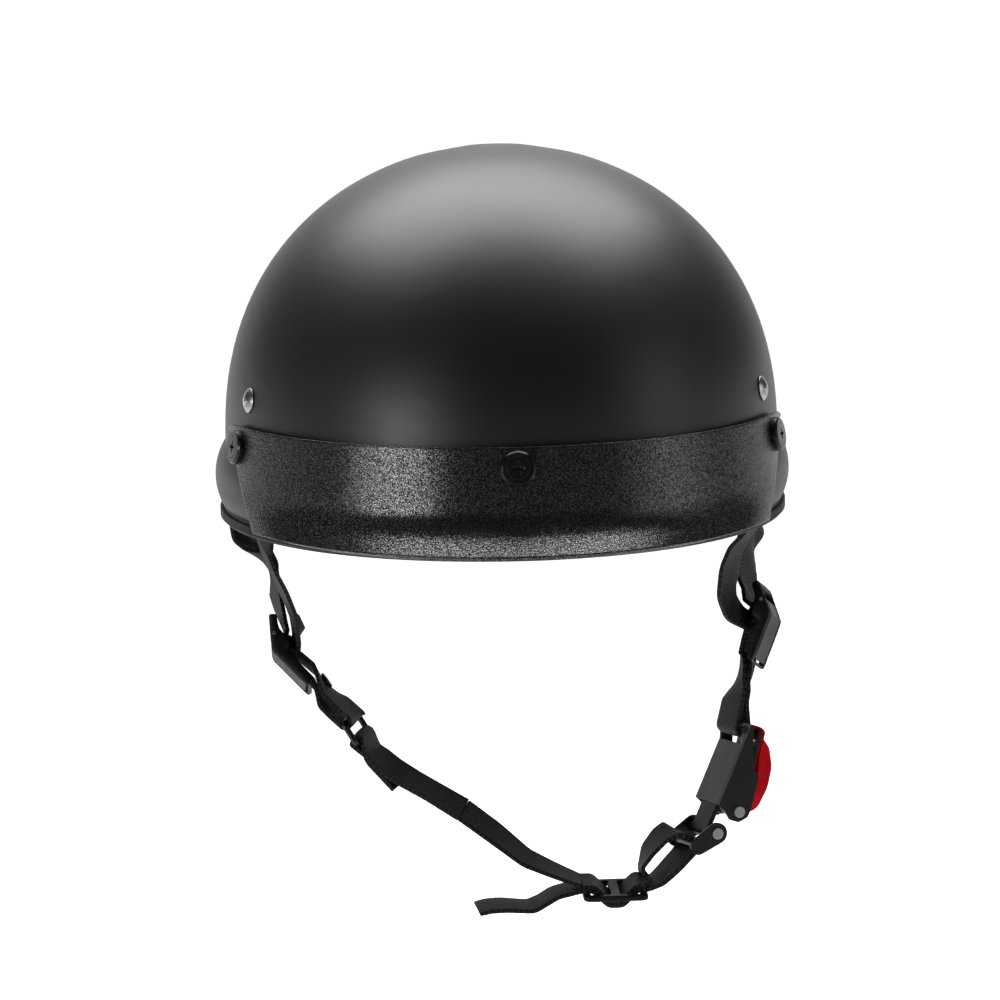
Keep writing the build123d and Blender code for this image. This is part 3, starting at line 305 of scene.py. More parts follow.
@dataclass(frozen=True)
class MattPaint:
    """Matt sprayed paint with a fine grain and faint handling marks."""

    name: str
    level: float = 0.006
    roughness: float = 0.44
    specular: float = 0.75
    grain: float = 1500.0
    grain_depth: float = 0.00003
    cloud: float = 22.0
    specks: float = 420.0
    edge_radius: float = 0.0006

    def build(self) -> Material:
        """Makes the material.

        Returns:
            The finished material.
        """
        sheet = NodeSheet(self.name)
        place = sheet.coords()
        fine = sheet.noise(place, self.grain, 4.0)
        cloud = sheet.noise(place, self.cloud, 5.0)
        specks = sheet.spread(sheet.noise(place, self.specks, 2.0), 0.0, 1.0, 0.72, 0.8)
        colour = sheet.blend(sheet.spread(cloud, 0.0, 1.0), grey(self.level), grey(self.level * 1.25, -0.02))
        colour = sheet.blend(sheet.math("MULTIPLY", specks, 0.25), colour, grey(self.level * 4))
        rough = sheet.spread(cloud, self.roughness - 0.02, self.roughness + 0.02)
        normal = sheet.bump(fine, self.grain_depth, 0.6, sheet.edge(self.edge_radius))
        return sheet.dress(Base_Color=colour, Roughness=rough, Normal=normal, Specular_IOR_Level=self.specular)


@dataclass(frozen=True)
class PebbledPlastic:
    """Moulded plastic with a pebbled skin that sparkles under a lamp."""

    name: str
    level: float = 0.007
    roughness: float = 0.18
    specular: Pair = (0.35, 2.1)
    pebble: float = 2300.0
    depth: float = 0.00006

    def build(self) -> Material:
        """Makes the material.

        Returns:
            The finished material.
        """
        sheet = NodeSheet(self.name)
        place = sheet.coords()
        cells = sheet.add("ShaderNodeTexVoronoi", {"Vector": place, "Scale": self.pebble})
        # One number from the colour of each cell, so that every pebble has its own shine.
        fine = sheet.math("MULTIPLY", cells.outputs["Color"], 1.0)
        height = sheet.math("ADD", cells.outputs["Distance"], fine)
        colour = sheet.blend(sheet.spread(fine, 0.0, 1.0, 0.45, 0.75), grey(self.level), grey(self.level * 2.4, 0.03))
        rough = sheet.spread(fine, self.roughness - 0.03, self.roughness + 0.05)
        shine = sheet.spread(fine, *self.specular, 0.35, 0.75)
        normal = sheet.bump(height, self.depth, 0.9)
        return sheet.dress(Base_Color=colour, Roughness=rough, Normal=normal, Specular_IOR_Level=shine)


@dataclass(frozen=True)
class MouldedFoam:
    """Expanded bead foam with its beads pressed flat against the mould."""

    name: str
    level: float = 0.03
    bead: float = 260.0
    seam_depth: float = 0.0003
    edge_radius: float = 0.0008

    def build(self) -> Material:
        """Makes the material.

        Returns:
            The finished material.
        """
        sheet = NodeSheet(self.name)
        place = sheet.coords()
        cells = sheet.add("ShaderNodeTexVoronoi", {"Vector": place, "Scale": self.bead}, feature="DISTANCE_TO_EDGE")
        seam = sheet.spread(cells.outputs["Distance"], 0.0, 1.0, 0.0, 0.12)
        tone = sheet.add("ShaderNodeTexVoronoi", {"Vector": place, "Scale": self.bead}).outputs["Color"]
        grain = sheet.math("MULTIPLY", tone, 0.5)
        colour = sheet.blend(grain, grey(self.level), grey(self.level * 1.6))
        colour = sheet.blend(seam, grey(self.level * 0.4), colour)
        return sheet.dress(Base_Color=colour, Roughness=0.82, Specular_IOR_Level=0.25,
                           Normal=sheet.bump(seam, self.seam_depth, 0.7, sheet.edge(self.edge_radius)))


@dataclass(frozen=True)
class SatinPlastic:
    """Satin moulded plastic or painted metal, with worn edges and fine scuffs."""

    name: str
    level: float = 0.012
    roughness: float = 0.34
    specular: float = 0.5
    metallic: float = 0.0
    grain: float = 900.0
    cloud: float = 90.0
    scuffs: Point = (90.0, 90.0, 1400.0)
    depth: float = 0.00004
    edge_radius: float = 0.0004

    def build(self) -> Material:
        """Makes the material.

        Returns:
            The finished material.
        """
        sheet = NodeSheet(self.name)
        place = sheet.coords()
        fine = sheet.noise(place, self.grain, 4.0)
        cloud = sheet.noise(place, self.cloud, 4.0)
        stretched = sheet.add("ShaderNodeMapping", {"Vector": place, "Scale": self.scuffs})
        scuff = sheet.spread(sheet.noise(stretched.outputs["Vector"], 1.0, 2.0), 0.0, 1.0, 0.62, 0.75)
        colour = sheet.blend(sheet.spread(cloud, 0.0, 1.0), grey(self.level), grey(self.level * 1.5))
        colour = sheet.blend(sheet.math("MULTIPLY", scuff, 0.3), colour, grey(self.level * 2.5))
        rough = sheet.math("ADD", sheet.spread(cloud, self.roughness - 0.05, self.roughness + 0.06),
                           sheet.math("MULTIPLY", scuff, 0.1))
        normal = sheet.bump(fine, self.depth, 0.5, sheet.edge(self.edge_radius))
        return sheet.dress(Base_Color=colour, Roughness=rough, Normal=normal, Metallic=self.metallic,
                           Specular_IOR_Level=self.specular)


@dataclass(frozen=True)
class BuckleSteel:
    """Pressed buckle steel: satin grey on its base plate and black paint on its side walls."""

    name: str
    origin: Point
    outward: Point
    plate: float = 0.0009
    plate_edge: float = 0.0002
    plate_level: float = 0.17
    wall_level: float = 0.008
    cloud: float = 110.0
    grain: float = 1500.0
    grain_depth: float = 0.00002
    edge_radius: float = 0.0004

    def build(self) -> Material:
        """Makes the material.

        Returns:
            The finished material.
        """
        sheet = NodeSheet(self.name)
        place = sheet.coords()
        from_origin = sheet.add("ShaderNodeVectorMath", {0: place, 1: self.origin}, operation="SUBTRACT")
        rise = sheet.add("ShaderNodeVectorMath", {0: from_origin.outputs[0], 1: self.outward},
                         operation="DOT_PRODUCT").outputs["Value"]
        wall = sheet.spread(rise, 0.0, 1.0, self.plate, self.plate + self.plate_edge)
        cloud = sheet.noise(place, self.cloud, 4.0)
        fine = sheet.noise(place, self.grain, 3.0)
        plate = sheet.blend(sheet.spread(cloud, 0.0, 1.0), grey(self.plate_level), grey(self.plate_level * 0.8))
        paint = sheet.blend(sheet.spread(cloud, 0.0, 1.0), grey(self.wall_level), grey(self.wall_level * 1.5))
        metal = sheet.math("SUBTRACT", 1.0, sheet.math("MULTIPLY", wall, 0.9))
        rough = sheet.math("SUBTRACT", sheet.spread(fine, 0.4, 0.5), sheet.math("MULTIPLY", wall, 0.08))
        return sheet.dress(Base_Color=sheet.blend(wall, plate, paint), Metallic=metal, Roughness=rough,
                           Normal=sheet.bump(fine, self.grain_depth, 0.5, sheet.edge(self.edge_radius)))


@dataclass(frozen=True)
class BrightMetal:
    """Plated steel with fine polishing lines and small dull patches."""

    name: str
    colour: Colour = (0.72, 0.72, 0.74, 1.0)
    roughness: float = 0.24
    polish: Point = (300.0, 300.0, 3500.0)
    polish_depth: float = 0.00002
    cloud: float = 240.0
    edge_radius: float = 0.0003

    def build(self) -> Material:
        """Makes the material.

        Returns:
            The finished material.
        """
        sheet = NodeSheet(self.name)
        place = sheet.coords()
        lines = sheet.add("ShaderNodeMapping", {"Vector": place, "Scale": self.polish})
        polish = sheet.noise(lines.outputs["Vector"], 1.0, 3.0)
        cloud = sheet.noise(place, self.cloud, 4.0)
        dull = tuple(0.7 * part for part in self.colour[:3]) + (1.0,)
        colour = sheet.blend(sheet.spread(cloud, 0.0, 1.0), self.colour, dull)
        rough = sheet.math("ADD", sheet.spread(cloud, self.roughness - 0.06, self.roughness + 0.1),
                           sheet.math("MULTIPLY", polish, 0.08))
        normal = sheet.bump(polish, self.polish_depth, 0.4, sheet.edge(self.edge_radius))
        return sheet.dress(Base_Color=colour, Metallic=1.0, Roughness=rough, Normal=normal)


@dataclass(frozen=True)
class WovenBand:
    """Woven webbing or ribbon, on a UV map that is measured in metres across and along. Its colour has painted shade
    in the hollows of the weave and is lighter on the raised threads.
    """

    name: str
    # dark is the painted shade in the weave's hollows, and light is the colour of the raised threads.
    dark: Colour = (0.001, 0.001, 0.0012, 1.0)
    light: Colour = (0.032, 0.032, 0.035, 1.0)
    thread: float = 0.0013
    rib: float = 0.0020
    wander: float = 0.0005
    fuzz: float = 4200.0
    patches: float = 130.0
    depth: float = 0.00045
    roughness: float = 0.55
    sheen: float = 0.03
    specular: float = 0.22

    def build(self) -> Material:
        """Makes the material.

        Returns:
            The finished material.
        """
        sheet = NodeSheet(self.name)
        parts = sheet.add("ShaderNodeSeparateXYZ", {0: sheet.coords("UV")})
        across, along = parts.outputs[0], parts.outputs[1]
        wobble = sheet.math("MULTIPLY", sheet.noise(sheet.coords("UV"), 260.0, 2.0), self.wander)
        across = sheet.math("ADD", across, wobble)
        along = sheet.math("ADD", along, wobble)
        chevron = sheet.math("PINGPONG", across, self.rib * 2)
        twill = sheet.math("ADD", along, chevron)
        turn = 2 * math.pi
        twill = sheet.math("SINE", sheet.math("MULTIPLY", twill, turn / self.rib))
        warp = sheet.math("SINE", sheet.math("MULTIPLY", across, turn / self.thread))
        fill = sheet.math("SINE", sheet.math("MULTIPLY", along, turn / self.thread * 1.25))
        cross = sheet.math("MULTIPLY", warp, fill)
        height = sheet.math("ADD", sheet.math("MULTIPLY", twill, 0.55), sheet.math("MULTIPLY", cross, 0.45))
        height = sheet.math("ADD", sheet.math("MULTIPLY", height, 0.5), 0.5)
        fuzz = sheet.noise(sheet.coords("UV"), self.fuzz, 2.0)
        height = sheet.math("ADD", height, sheet.math("MULTIPLY", fuzz, 0.35))
        # The colour follows the weave's height: darker in its hollows and lighter on its raised threads, which is
        # painted shade, with random patches over it.
        tone = sheet.math("ADD", sheet.math("MULTIPLY", height, 0.7),
                          sheet.math("MULTIPLY", sheet.noise(sheet.coords(), self.patches, 3.0), 0.3))
        colour = sheet.blend(sheet.spread(tone, 0.0, 1.0, 0.4, 1.0), self.dark, self.light)
        rough = sheet.spread(fuzz, self.roughness - 0.06, self.roughness + 0.08)
        return sheet.dress(Base_Color=colour, Roughness=rough, Normal=sheet.bump(height, self.depth, 0.8),
                           Sheen_Weight=self.sheen, Specular_IOR_Level=self.specular)


@dataclass(frozen=True)
class PadCloth:
    """Brushed mesh cloth over the comfort pads, with small air holes."""

    name: str
    level: float = 0.018
    mesh: float = 420.0
    fuzz: float = 2400.0
    depth: float = 0.0004

    def build(self) -> Material:
        """Makes the material.

        Returns:
            The finished material.
        """
        sheet = NodeSheet(self.name)
        place = sheet.coords()
        cells = sheet.add("ShaderNodeTexVoronoi", {"Vector": place, "Scale": self.mesh, "Randomness": 0.25},
                          feature="F1").outputs["Distance"]
        hole = sheet.spread(cells, 0.0, 1.0, 0.12, 0.32)
        fuzz = sheet.noise(place, self.fuzz, 3.0)
        colour = sheet.blend(hole, grey(self.level * 0.3), grey(self.level))
        colour = sheet.blend(sheet.spread(fuzz, 0.0, 0.5), colour, grey(self.level * 1.8))
        height = sheet.math("ADD", hole, sheet.math("MULTIPLY", fuzz, 0.3))
        return sheet.dress(Base_Color=colour, Roughness=0.85, Normal=sheet.bump(height, self.depth, 0.7),
                           Sheen_Weight=0.25, Specular_IOR_Level=0.25)


@dataclass
class Finishes:
    """Every material, built once."""

    paint: Material = field(default_factory=MattPaint("matt_black_paint").build)
    visor: Material = field(default_factory=PebbledPlastic("pebbled_black_plastic").build)
    foam: Material = field(default_factory=MouldedFoam("charcoal_bead_foam").build)
    rubber: Material = field(default_factory=SatinPlastic(
        "edge_rubber", level=0.008, roughness=0.6, specular=0.3, depth=0.00006).build)
    moulding: Material = field(default_factory=SatinPlastic(
        "satin_black_moulding", level=0.006, roughness=0.46, specular=0.2).build)
    black_metal: Material = field(default_factory=SatinPlastic(
        "black_painted_metal", level=0.005, roughness=0.24, specular=0.55, depth=0.00002).build)
    dark_steel: Material = field(default_factory=SatinPlastic(
        "dark_satin_steel", level=0.02, roughness=0.4, metallic=0.6).build)
    buckle: Material = field(default_factory=BuckleSteel(
        "buckle_steel", BUCKLE_ORIGIN, BUCKLE_OUTWARD).build)
    rivet: Material = field(default_factory=BrightMetal("bright_rivet_steel").build)
    steel: Material = field(default_factory=BrightMetal(
        "plated_steel", colour=(0.5, 0.5, 0.52, 1.0), roughness=0.3).build)
    # Both woven bands are painted darker in the hollows of their weave, which is painted shade.
    webbing: Material = field(default_factory=WovenBand("black_webbing").build)
    ribbon: Material = field(default_factory=WovenBand(
        "red_ribbon", dark=(0.40, 0.0, 0.004, 1.0), light=(0.85, 0.001, 0.012, 1.0), thread=0.0011,
        rib=0.0016, depth=0.0003, roughness=0.8, sheen=0.0, specular=0.03).build)
    cloth: Material = field(default_factory=PadCloth("pad_mesh_cloth").build)


def only(piece: Piece) -> None:
    """Makes one piece the only selected and the active one.

    Args:
        piece: Piece to work on.
    """
    bpy.ops.object.select_all(action="DESELECT")
    piece.select_set(True)
    bpy.context.view_layer.objects.active = piece


def apply_modifiers(piece: Piece) -> None:
    """Applies every modifier in order.

    Args:
        piece: Piece with modifiers.
    """
    only(piece)
    for modifier in list(piece.modifiers):
        bpy.ops.object.modifier_apply(modifier=modifier.name)


def face_outward(piece: Piece, join: float = 0.0) -> None:
    """Turns every face of a piece outward.

    Args:
        piece: Piece of one or more shells.
        join: Distance within which vertices are joined first, or zero.
    """
    only(piece)
    bpy.ops.object.mode_set(mode="EDIT")
    bpy.ops.mesh.select_all(action="SELECT")
    if join:
        bpy.ops.mesh.remove_doubles(threshold=join)
    bpy.ops.mesh.normals_make_consistent(inside=False)
    bpy.ops.object.mode_set(mode="OBJECT")


def add_modifier(piece: Piece, name: str, kind: str, **settings: object) -> None:
    """Adds a modifier.

    Args:
        piece: Piece that gets the modifier.
        name: Name of the modifier.
        kind: Blender's name of its type.
        **settings: Properties of the modifier.
    """
    modifier = piece.modifiers.new(name, kind)
    for key, value in settings.items():
        setattr(modifier, key, value)


def mesh_points(piece: Piece, kind: str = "co") -> np.ndarray:
    """Reads the vertices.

    Args:
        piece: Piece to read.
        kind: "co" for their places or "normal" for their directions.

    Returns:
        A row of three numbers for each vertex.
    """
    points = np.empty(len(piece.data.vertices) * 3)
    piece.data.vertices.foreach_get(kind, points)
    return points.reshape(-1, 3)


def set_points(piece: Piece, points: np.ndarray) -> None:
    """Moves the vertices of a piece to the rows of an array."""
    piece.data.vertices.foreach_set("co", points.ravel())
    piece.data.update()


def mapped_grid(name: str, across: int, along: int, size: Pair,
                place: Callable[[np.ndarray, np.ndarray], np.ndarray]) -> Piece:
    """Adds a grid and lays it over a surface.

    Args:
        name: Name of the piece.
        across: Faces across the surface.
        along: Faces along the surface.
        size: Width and length in metres, which the UV map is measured in.
        place: Function from shares across and along, as arrays, to points.

    Returns:
        The new piece.
    """
    bpy.ops.object.select_all(action="DESELECT")
    bpy.ops.mesh.primitive_grid_add(x_subdivisions=across, y_subdivisions=along, size=1.0, calc_uvs=True)
    piece = bpy.context.object
    piece.name = name
    piece.data.name = name
    flat = mesh_points(piece)
    set_points(piece, place(flat[:, 0] + 0.5, flat[:, 1] + 0.5))
    layer = piece.data.uv_layers.active
    marks = np.empty(len(layer.data) * 2)
    layer.data.foreach_get("uv", marks)
    marks = marks.reshape(-1, 2) * np.array(size)
    layer.data.foreach_set("uv", marks.ravel())
    return piece


def merged_copy(node: str, name: str) -> Piece:
    """Copies a CAD node, with its loose triangles joined into a closed surface.

    Args:
        node: CAD node to copy.
        name: Name of the copy.

    Returns:
        The new piece.
    """
    piece = bpy.data.objects.new(name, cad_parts[node].data.copy())
    bpy.context.scene.collection.objects.link(piece)
    piece.data.materials.clear()
    face_outward(piece, JOIN_DISTANCE)
    return piece


def soften(piece: Piece, voxel: float, rounds: int) -> None:
    """Gives a piece an even mesh and rounds its edges.

    Args:
        piece: Closed piece.
        voxel: Size of the even mesh's faces.
        rounds: Times that the surface is smoothed.
    """
    add_modifier(piece, "even_mesh", "REMESH", mode="VOXEL", voxel_size=voxel)
    add_modifier(piece, "soft_edges", "SMOOTH", factor=0.5, iterations=rounds)
    apply_modifiers(piece)
    bpy.ops.object.shade_smooth()


def smooth_line(points: np.ndarray, step: float, longest_cut: float = 0.005, rounds: int = 3,
                cut_share: float = 0.42) -> tuple[np.ndarray, np.ndarray]:
    """Line through a route with its corners rounded, with places at even steps of its length.

    Args:
        points: Rows of numbers, the first three of each a place.
        step: Length between two places of the result.
        longest_cut: How far from a corner its rounding may start.
        rounds: Times that every corner is cut.
        cut_share: Share of a short span that the rounding may take at each end.

    Returns:
        The rows of the smooth line, and the length from its start to each row.
    """
    rows = [points[0]]
    for near, far in zip(points, points[1:]):
        share = min(cut_share, longest_cut / np.linalg.norm((far - near)[:3]))
        rows += [near + (far - near) * share, far - (far - near) * share, far]
    fine = np.array(rows)
    for _ in range(rounds):
        near, far = fine[:-1], fine[1:]
        cut = np.stack((near * 0.75 + far * 0.25, near * 0.25 + far * 0.75), axis=1).reshape(-1, fine.shape[1])
        fine = np.vstack((fine[:1], cut[1:-1], fine[-1:]))
    length = np.concatenate(([0.0], np.cumsum(np.linalg.norm(np.diff(fine[:, :3], axis=0), axis=1))))
    count = max(2, round(length[-1] / step))
    even = np.linspace(0.0, length[-1], count + 1)
    return np.column_stack([np.interp(even, length, fine[:, part]) for part in range(fine.shape[1])]), even


def unit(rows: np.ndarray) -> np.ndarray:
    """Rows of an array, each scaled to length one."""
    return rows / np.linalg.norm(rows, axis=1)[:, None]


@dataclass
class Band:
    """A length of woven band that follows a route."""

    name: str
    rows: np.ndarray
    width: float = 0.020
    thickness: float = 0.0016
    step: float = 0.0012
    columns: int = 12
    crown: float = 0.00025
    rounding: float = 0.00055
    smooth_angle: float = 60.0
    line: np.ndarray = field(init=False)
    length: float = field(init=False)

    def __post_init__(self) -> None:
        """Smooths the route."""
        self.line, marks = smooth_line(self.rows, self.step)
        self.length = float(marks[-1])

    def frame_at(self, along: np.ndarray) -> tuple[np.ndarray, np.ndarray, np.ndarray, np.ndarray]:
        """Finds how the band lies along its route.

        Args:
            along: Shares of the length.

        Returns:
            The middle, width direction, face direction and heading at each share.
        """
        shares = np.linspace(0.0, 1.0, len(self.line))
        row = np.column_stack([np.interp(along, shares, self.line[:, part]) for part in range(6)])
        slope = np.gradient(self.line[:, :3], axis=0)
        heading = unit(np.column_stack([np.interp(along, shares, slope[:, part]) for part in range(3)]))
        side = row[:, 3:]
        side = unit(side - heading * np.sum(side * heading, axis=1)[:, None])
        return row[:, :3], side, np.cross(heading, side), heading

    def surface(self, across: np.ndarray, along: np.ndarray, lift: float = 0.0) -> np.ndarray:
        """Finds points of the band's middle sheet.

        Args:
            across: Shares of the width.
            along: Shares of the length.
            lift: Height above the sheet.

        Returns:
            The points as rows.
        """
        middle, side, face, _ = self.frame_at(along)
        bow = self.crown * (1 - (2 * across - 1) ** 2)
        return middle + side * ((across - 0.5) * self.width)[:, None] + face * (bow + lift)[:, None]

    def build(self, material: Material) -> Piece:
        """Makes the band as a sheet with a wall and rounded edges.

        Args:
            material: Finish of the band.

        Returns:
            The new piece.
        """
        piece = mapped_grid(self.name, self.columns, len(self.line) - 1, (self.width, self.length), self.surface)
        add_modifier(piece, "wall", "SOLIDIFY", thickness=self.thickness, offset=0.0, use_even_offset=False)
        add_modifier(piece, "soft_edges", "BEVEL", width=self.rounding, segments=2, limit_method="ANGLE",
                     angle_limit=SHARP_ANGLE)
        apply_modifiers(piece)
        bpy.ops.object.shade_smooth_by_angle(angle=math.radians(self.smooth_angle))
        piece.data.materials.append(material)
        return piece


@dataclass
class Visor:
    """Screwed-on visor: an upright band with a rounded crease above a lip that reaches forward."""

    finishes: Finishes
    wall: float = 0.002
    top: float = 0.042
    lip: float = 0.003
    crease: float = 0.0125
    rounding: float = 0.005
    edge_width: float = 0.0009
    smooth_angle: float = 40.0
    map_size: Pair = (0.045, 0.4)
    lip_axes: Pair = (0.1186, 0.156)
    end_top: float = -0.046
    end_low: float = -0.078
    end_low_height: float = 0.007
    end_radius: float = 0.009
    columns: int = 260
    levels: int = 40
    half_width: float = 0.113
    belt: float = 0.030
    crown: float = 0.1477
    powers: Pair = (2.235, 2.03)
    ratio: float = 134.7 / 113.0
    flare: tuple[float, float, float] = (0.09295, 0.01588, 0.02452)
    clear: float = 0.0035

    def shell_half_width(self, height: float) -> float:
        """Finds the half width of the shell.

        Args:
            height: Height above the shell's lower edge.

        Returns:
            The half width there.
        """
        if height < self.belt:
            across, up, radius = self.flare
            return across + math.sqrt(radius ** 2 - (height - up) ** 2)
        share = (height - self.belt) / (self.crown - self.belt)
        return self.half_width * (1 - share ** self.powers[0]) ** (1 / self.powers[1])

    def axes(self, height: float) -> Pair:
        """Finds the half axes of the upright band.

        Args:
            height: Height above the shell's lower edge.

        Returns:
            Half the width and half the length there.
        """
        top, low = self.shell_half_width(self.top), self.shell_half_width(self.crease)
        shell = top + (low - top) * (self.top - height) / (self.top - self.crease)
        return shell + self.clear, self.ratio * shell + self.clear

    def section(self) -> np.ndarray:
        """Draws the visor's section.

        Returns:
            Rows of a height and two half axes, from the top edge to the lip.
        """
        crease = np.array([self.crease, *self.axes(self.crease)])
        lip = np.array([self.lip, *self.lip_axes])
        begin = np.array([self.crease + self.rounding, *self.axes(self.crease + self.rounding)])
        end = crease + (lip - crease) * self.rounding / (self.crease - self.lip)
        rows = [np.array([self.top, *self.axes(self.top)])]
        for t in np.linspace(0.0, 1.0, 9):
            rows.append(begin * (1 - t) ** 2 + crease * (2 * t * (1 - t)) + end * t ** 2)
        rows.append(lip)
        return np.array(rows)

    def end_setback(self, height: np.ndarray) -> np.ndarray:
        """Finds where the visor's ends lie, with their top corner rounded.

        Args:
            height: Heights above the shell's lower edge.

        Returns:
            The ends' places from back to front at each height.
        """
        slope = (self.end_low - self.end_top) / (self.top - self.end_low_height)
        straight = self.end_top + slope * (self.top - height)
        lean = math.atan(-slope)
        tangent = self.end_radius * math.tan((math.pi / 2 - lean) / 2)
        drop = tangent * math.cos(lean)
        centre_y = self.end_top - tangent
        centre_z = self.top - self.end_radius
        reach = np.clip(self.end_radius ** 2 - (height - centre_z) ** 2, 0.0, None)
        return np.where(height > self.top - drop, centre_y + np.sqrt(reach), straight)

    def place(self, across: np.ndarray, along: np.ndarray) -> np.ndarray:
        """Finds points of the visor's outer face.

        Args:
            across: Shares of the section, from the top edge to the lip.
            along: Shares of the way from the right end to the left end.

        Returns:
            The points as rows.
        """
        rows = self.section()
        run = np.concatenate(([0.0], np.cumsum(np.linalg.norm(np.diff(rows, axis=0), axis=1))))
        down = run[-1] * across
        height, wide, deep = (np.interp(down, run, rows[:, part]) for part in range(3))
        end = np.arcsin(np.clip(-self.end_setback(height) / deep, -1.0, 1.0))
        angle = end + (math.pi - 2 * end) * along
        return np.column_stack((wide * np.cos(angle), -deep * np.sin(angle), height))

    def build(self) -> Piece:
        """Makes the visor with its wall and softened edges.

        Returns:
            The new piece.
        """
        piece = mapped_grid("visor_moulding", self.levels, self.columns, self.map_size, self.place)
        face_outward(piece)
        normal = piece.data.polygons[len(piece.data.polygons) // 2].normal
        inward = 1.0 if normal.y < 0 else -1.0
        add_modifier(piece, "wall", "SOLIDIFY", thickness=self.wall, offset=-inward, use_even_offset=True)
        add_modifier(piece, "soft_edges", "BEVEL", width=self.edge_width, segments=3, limit_method="ANGLE",
                     angle_limit=SHARP_ANGLE)
        apply_modifiers(piece)
        face_outward(piece)
        bpy.ops.object.shade_smooth_by_angle(angle=math.radians(self.smooth_angle))
        piece.data.materials.append(self.finishes.visor)
        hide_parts("visor")
        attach(piece, "helmet")
        LOG.info("visor: %d faces", len(piece.data.polygons))
        return piece


@dataclass
class Padding:
    """Comfort pads inside the foam: a soft cushion in the place of each plain CAD pad."""

    finishes: Finishes
    names: tuple[str, ...] = ("crown_pad", "brow_pad", "nape_pad", "side_pad_left", "side_pad_right")
    voxel: float = 0.0018
    groove: float = 0.0014
    groove_width: float = 0.0022
    channels: float = 0.030
    rounds: int = 14
    head_middle: Point = (0.0, 0.0, 0.02)
    spokes: int = 3
    ring: float = 0.022
    ratio: float = 1.192
    radius: float = 0.09
    puff: float = 0.0006
    puff_reach: float = 0.008
    fill: float = 0.6

    def cushion(self, name: str) -> Piece:
        """Makes one cushion from a merged copy of its CAD pad, with sewn channels on the head side.

        Args:
            name: CAD pad that the cushion stands for.

        Returns:
            The new piece.
        """
        piece = merged_copy(name, name + "_cushion")
        soften(piece, self.voxel, self.rounds)
        points = mesh_points(piece)
        normals = mesh_points(piece, "normal")
        crown = name == "crown_pad"
        head = np.array(self.head_middle) - points if crown else points * [-1.0, -1.0, 0.0] + 1e-9
        facing = np.clip(np.sum(normals * unit(head), axis=1), 0.0, 1.0)
        if crown:
            angle = np.arctan2(points[:, 1], points[:, 0])
            reach = np.hypot(points[:, 0], points[:, 1])
            spokes = np.abs(np.sin(angle * self.spokes)) / self.spokes * reach
            gap = np.minimum(np.where(reach > self.ring, spokes, 1.0), np.abs(reach - self.ring))
        else:
            run = np.arctan2(points[:, 1] / self.ratio, points[:, 0]) * self.radius
            gap = np.abs((run + self.channels / 2) % self.channels - self.channels / 2)
        depth = self.groove * np.exp(-(gap / self.groove_width) ** 2) * facing
        puff = self.puff * np.clip(gap / self.puff_reach, 0.0, 1.0) * facing
        set_points(piece, points + normals * (puff - depth)[:, None])
        piece.data.materials.append(self.finishes.cloth)
        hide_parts(name)
        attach(piece, "helmet")
        return piece

    def build(self) -> None:
        """Makes every cushion."""
        for name in self.names:
            piece = self.cushion(name)
            LOG.info("%s: %d faces", piece.name, len(piece.data.polygons))


@dataclass
class Harness:
    """All the webbing: two legs on each side, the chin strap, its loop and its free tail."""

    finishes: Finishes
    ring_end: Point = (-0.060, -0.0445, -0.0885)
    rows_past_meeting: int = 5

    def rows(self, name: str) -> np.ndarray:
        """Route of a length of webbing as an array."""
        return np.array([(*place, *wide) for wide, places in ROUTES[name] for place in places]) / ROUTE_UNITS

    def lay(self, name: str, node: str, rows: np.ndarray) -> tuple[Band, Piece]:
        """Makes a band that stands for a CAD node.

        Args:
            name: Name of the band.
            node: CAD node.
            rows: Route of the band.

        Returns:
            The band and its piece.
        """
        band = Band(name, rows)
        piece = band.build(self.finishes.webbing)
        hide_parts(node)
        LOG.info("%s: %.0f mm long", name, band.length * 1000)
        return band, piece

    def legs(self) -> None:
        """Makes the front and rear leg of each side."""
        for side in Side:
            word = side.name.lower()
            for part in ("front", "rear"):
                node = f"{part}_strap_{word}"
                band, piece = self.lay(f"{part}_webbing_{word}", node, self.rows(node))
                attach(piece, "helmet")
                if node == "front_strap_left":
                    Snap(self.finishes).build(band)

    def chin(self) -> None:
        """Makes the chin strap in two lengths that meet in the middle, its loop and its tail."""
        rows = self.rows("chin_strap")
        middle = len(rows) - self.rows_past_meeting
        near, near_piece = self.lay("chin_webbing_ring_end", "chin_strap", rows[:middle + 1])
        _, far_piece = self.lay("chin_webbing_slide_end", "chin_strap", rows[middle:])
        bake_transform(near_piece)
        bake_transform(far_piece)
        _, loop_piece = self.lay("chin_loop_webbing", "chin_loop", self.rows("chin_loop"))
        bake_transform(loop_piece)
        _, tail_piece = self.lay("strap_tail_webbing", "strap_tail", self.rows("strap_tail"))
        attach(tail_piece, "tongue")

    def build(self) -> None:
        """Makes every length of webbing."""
        self.legs()
        self.chin()


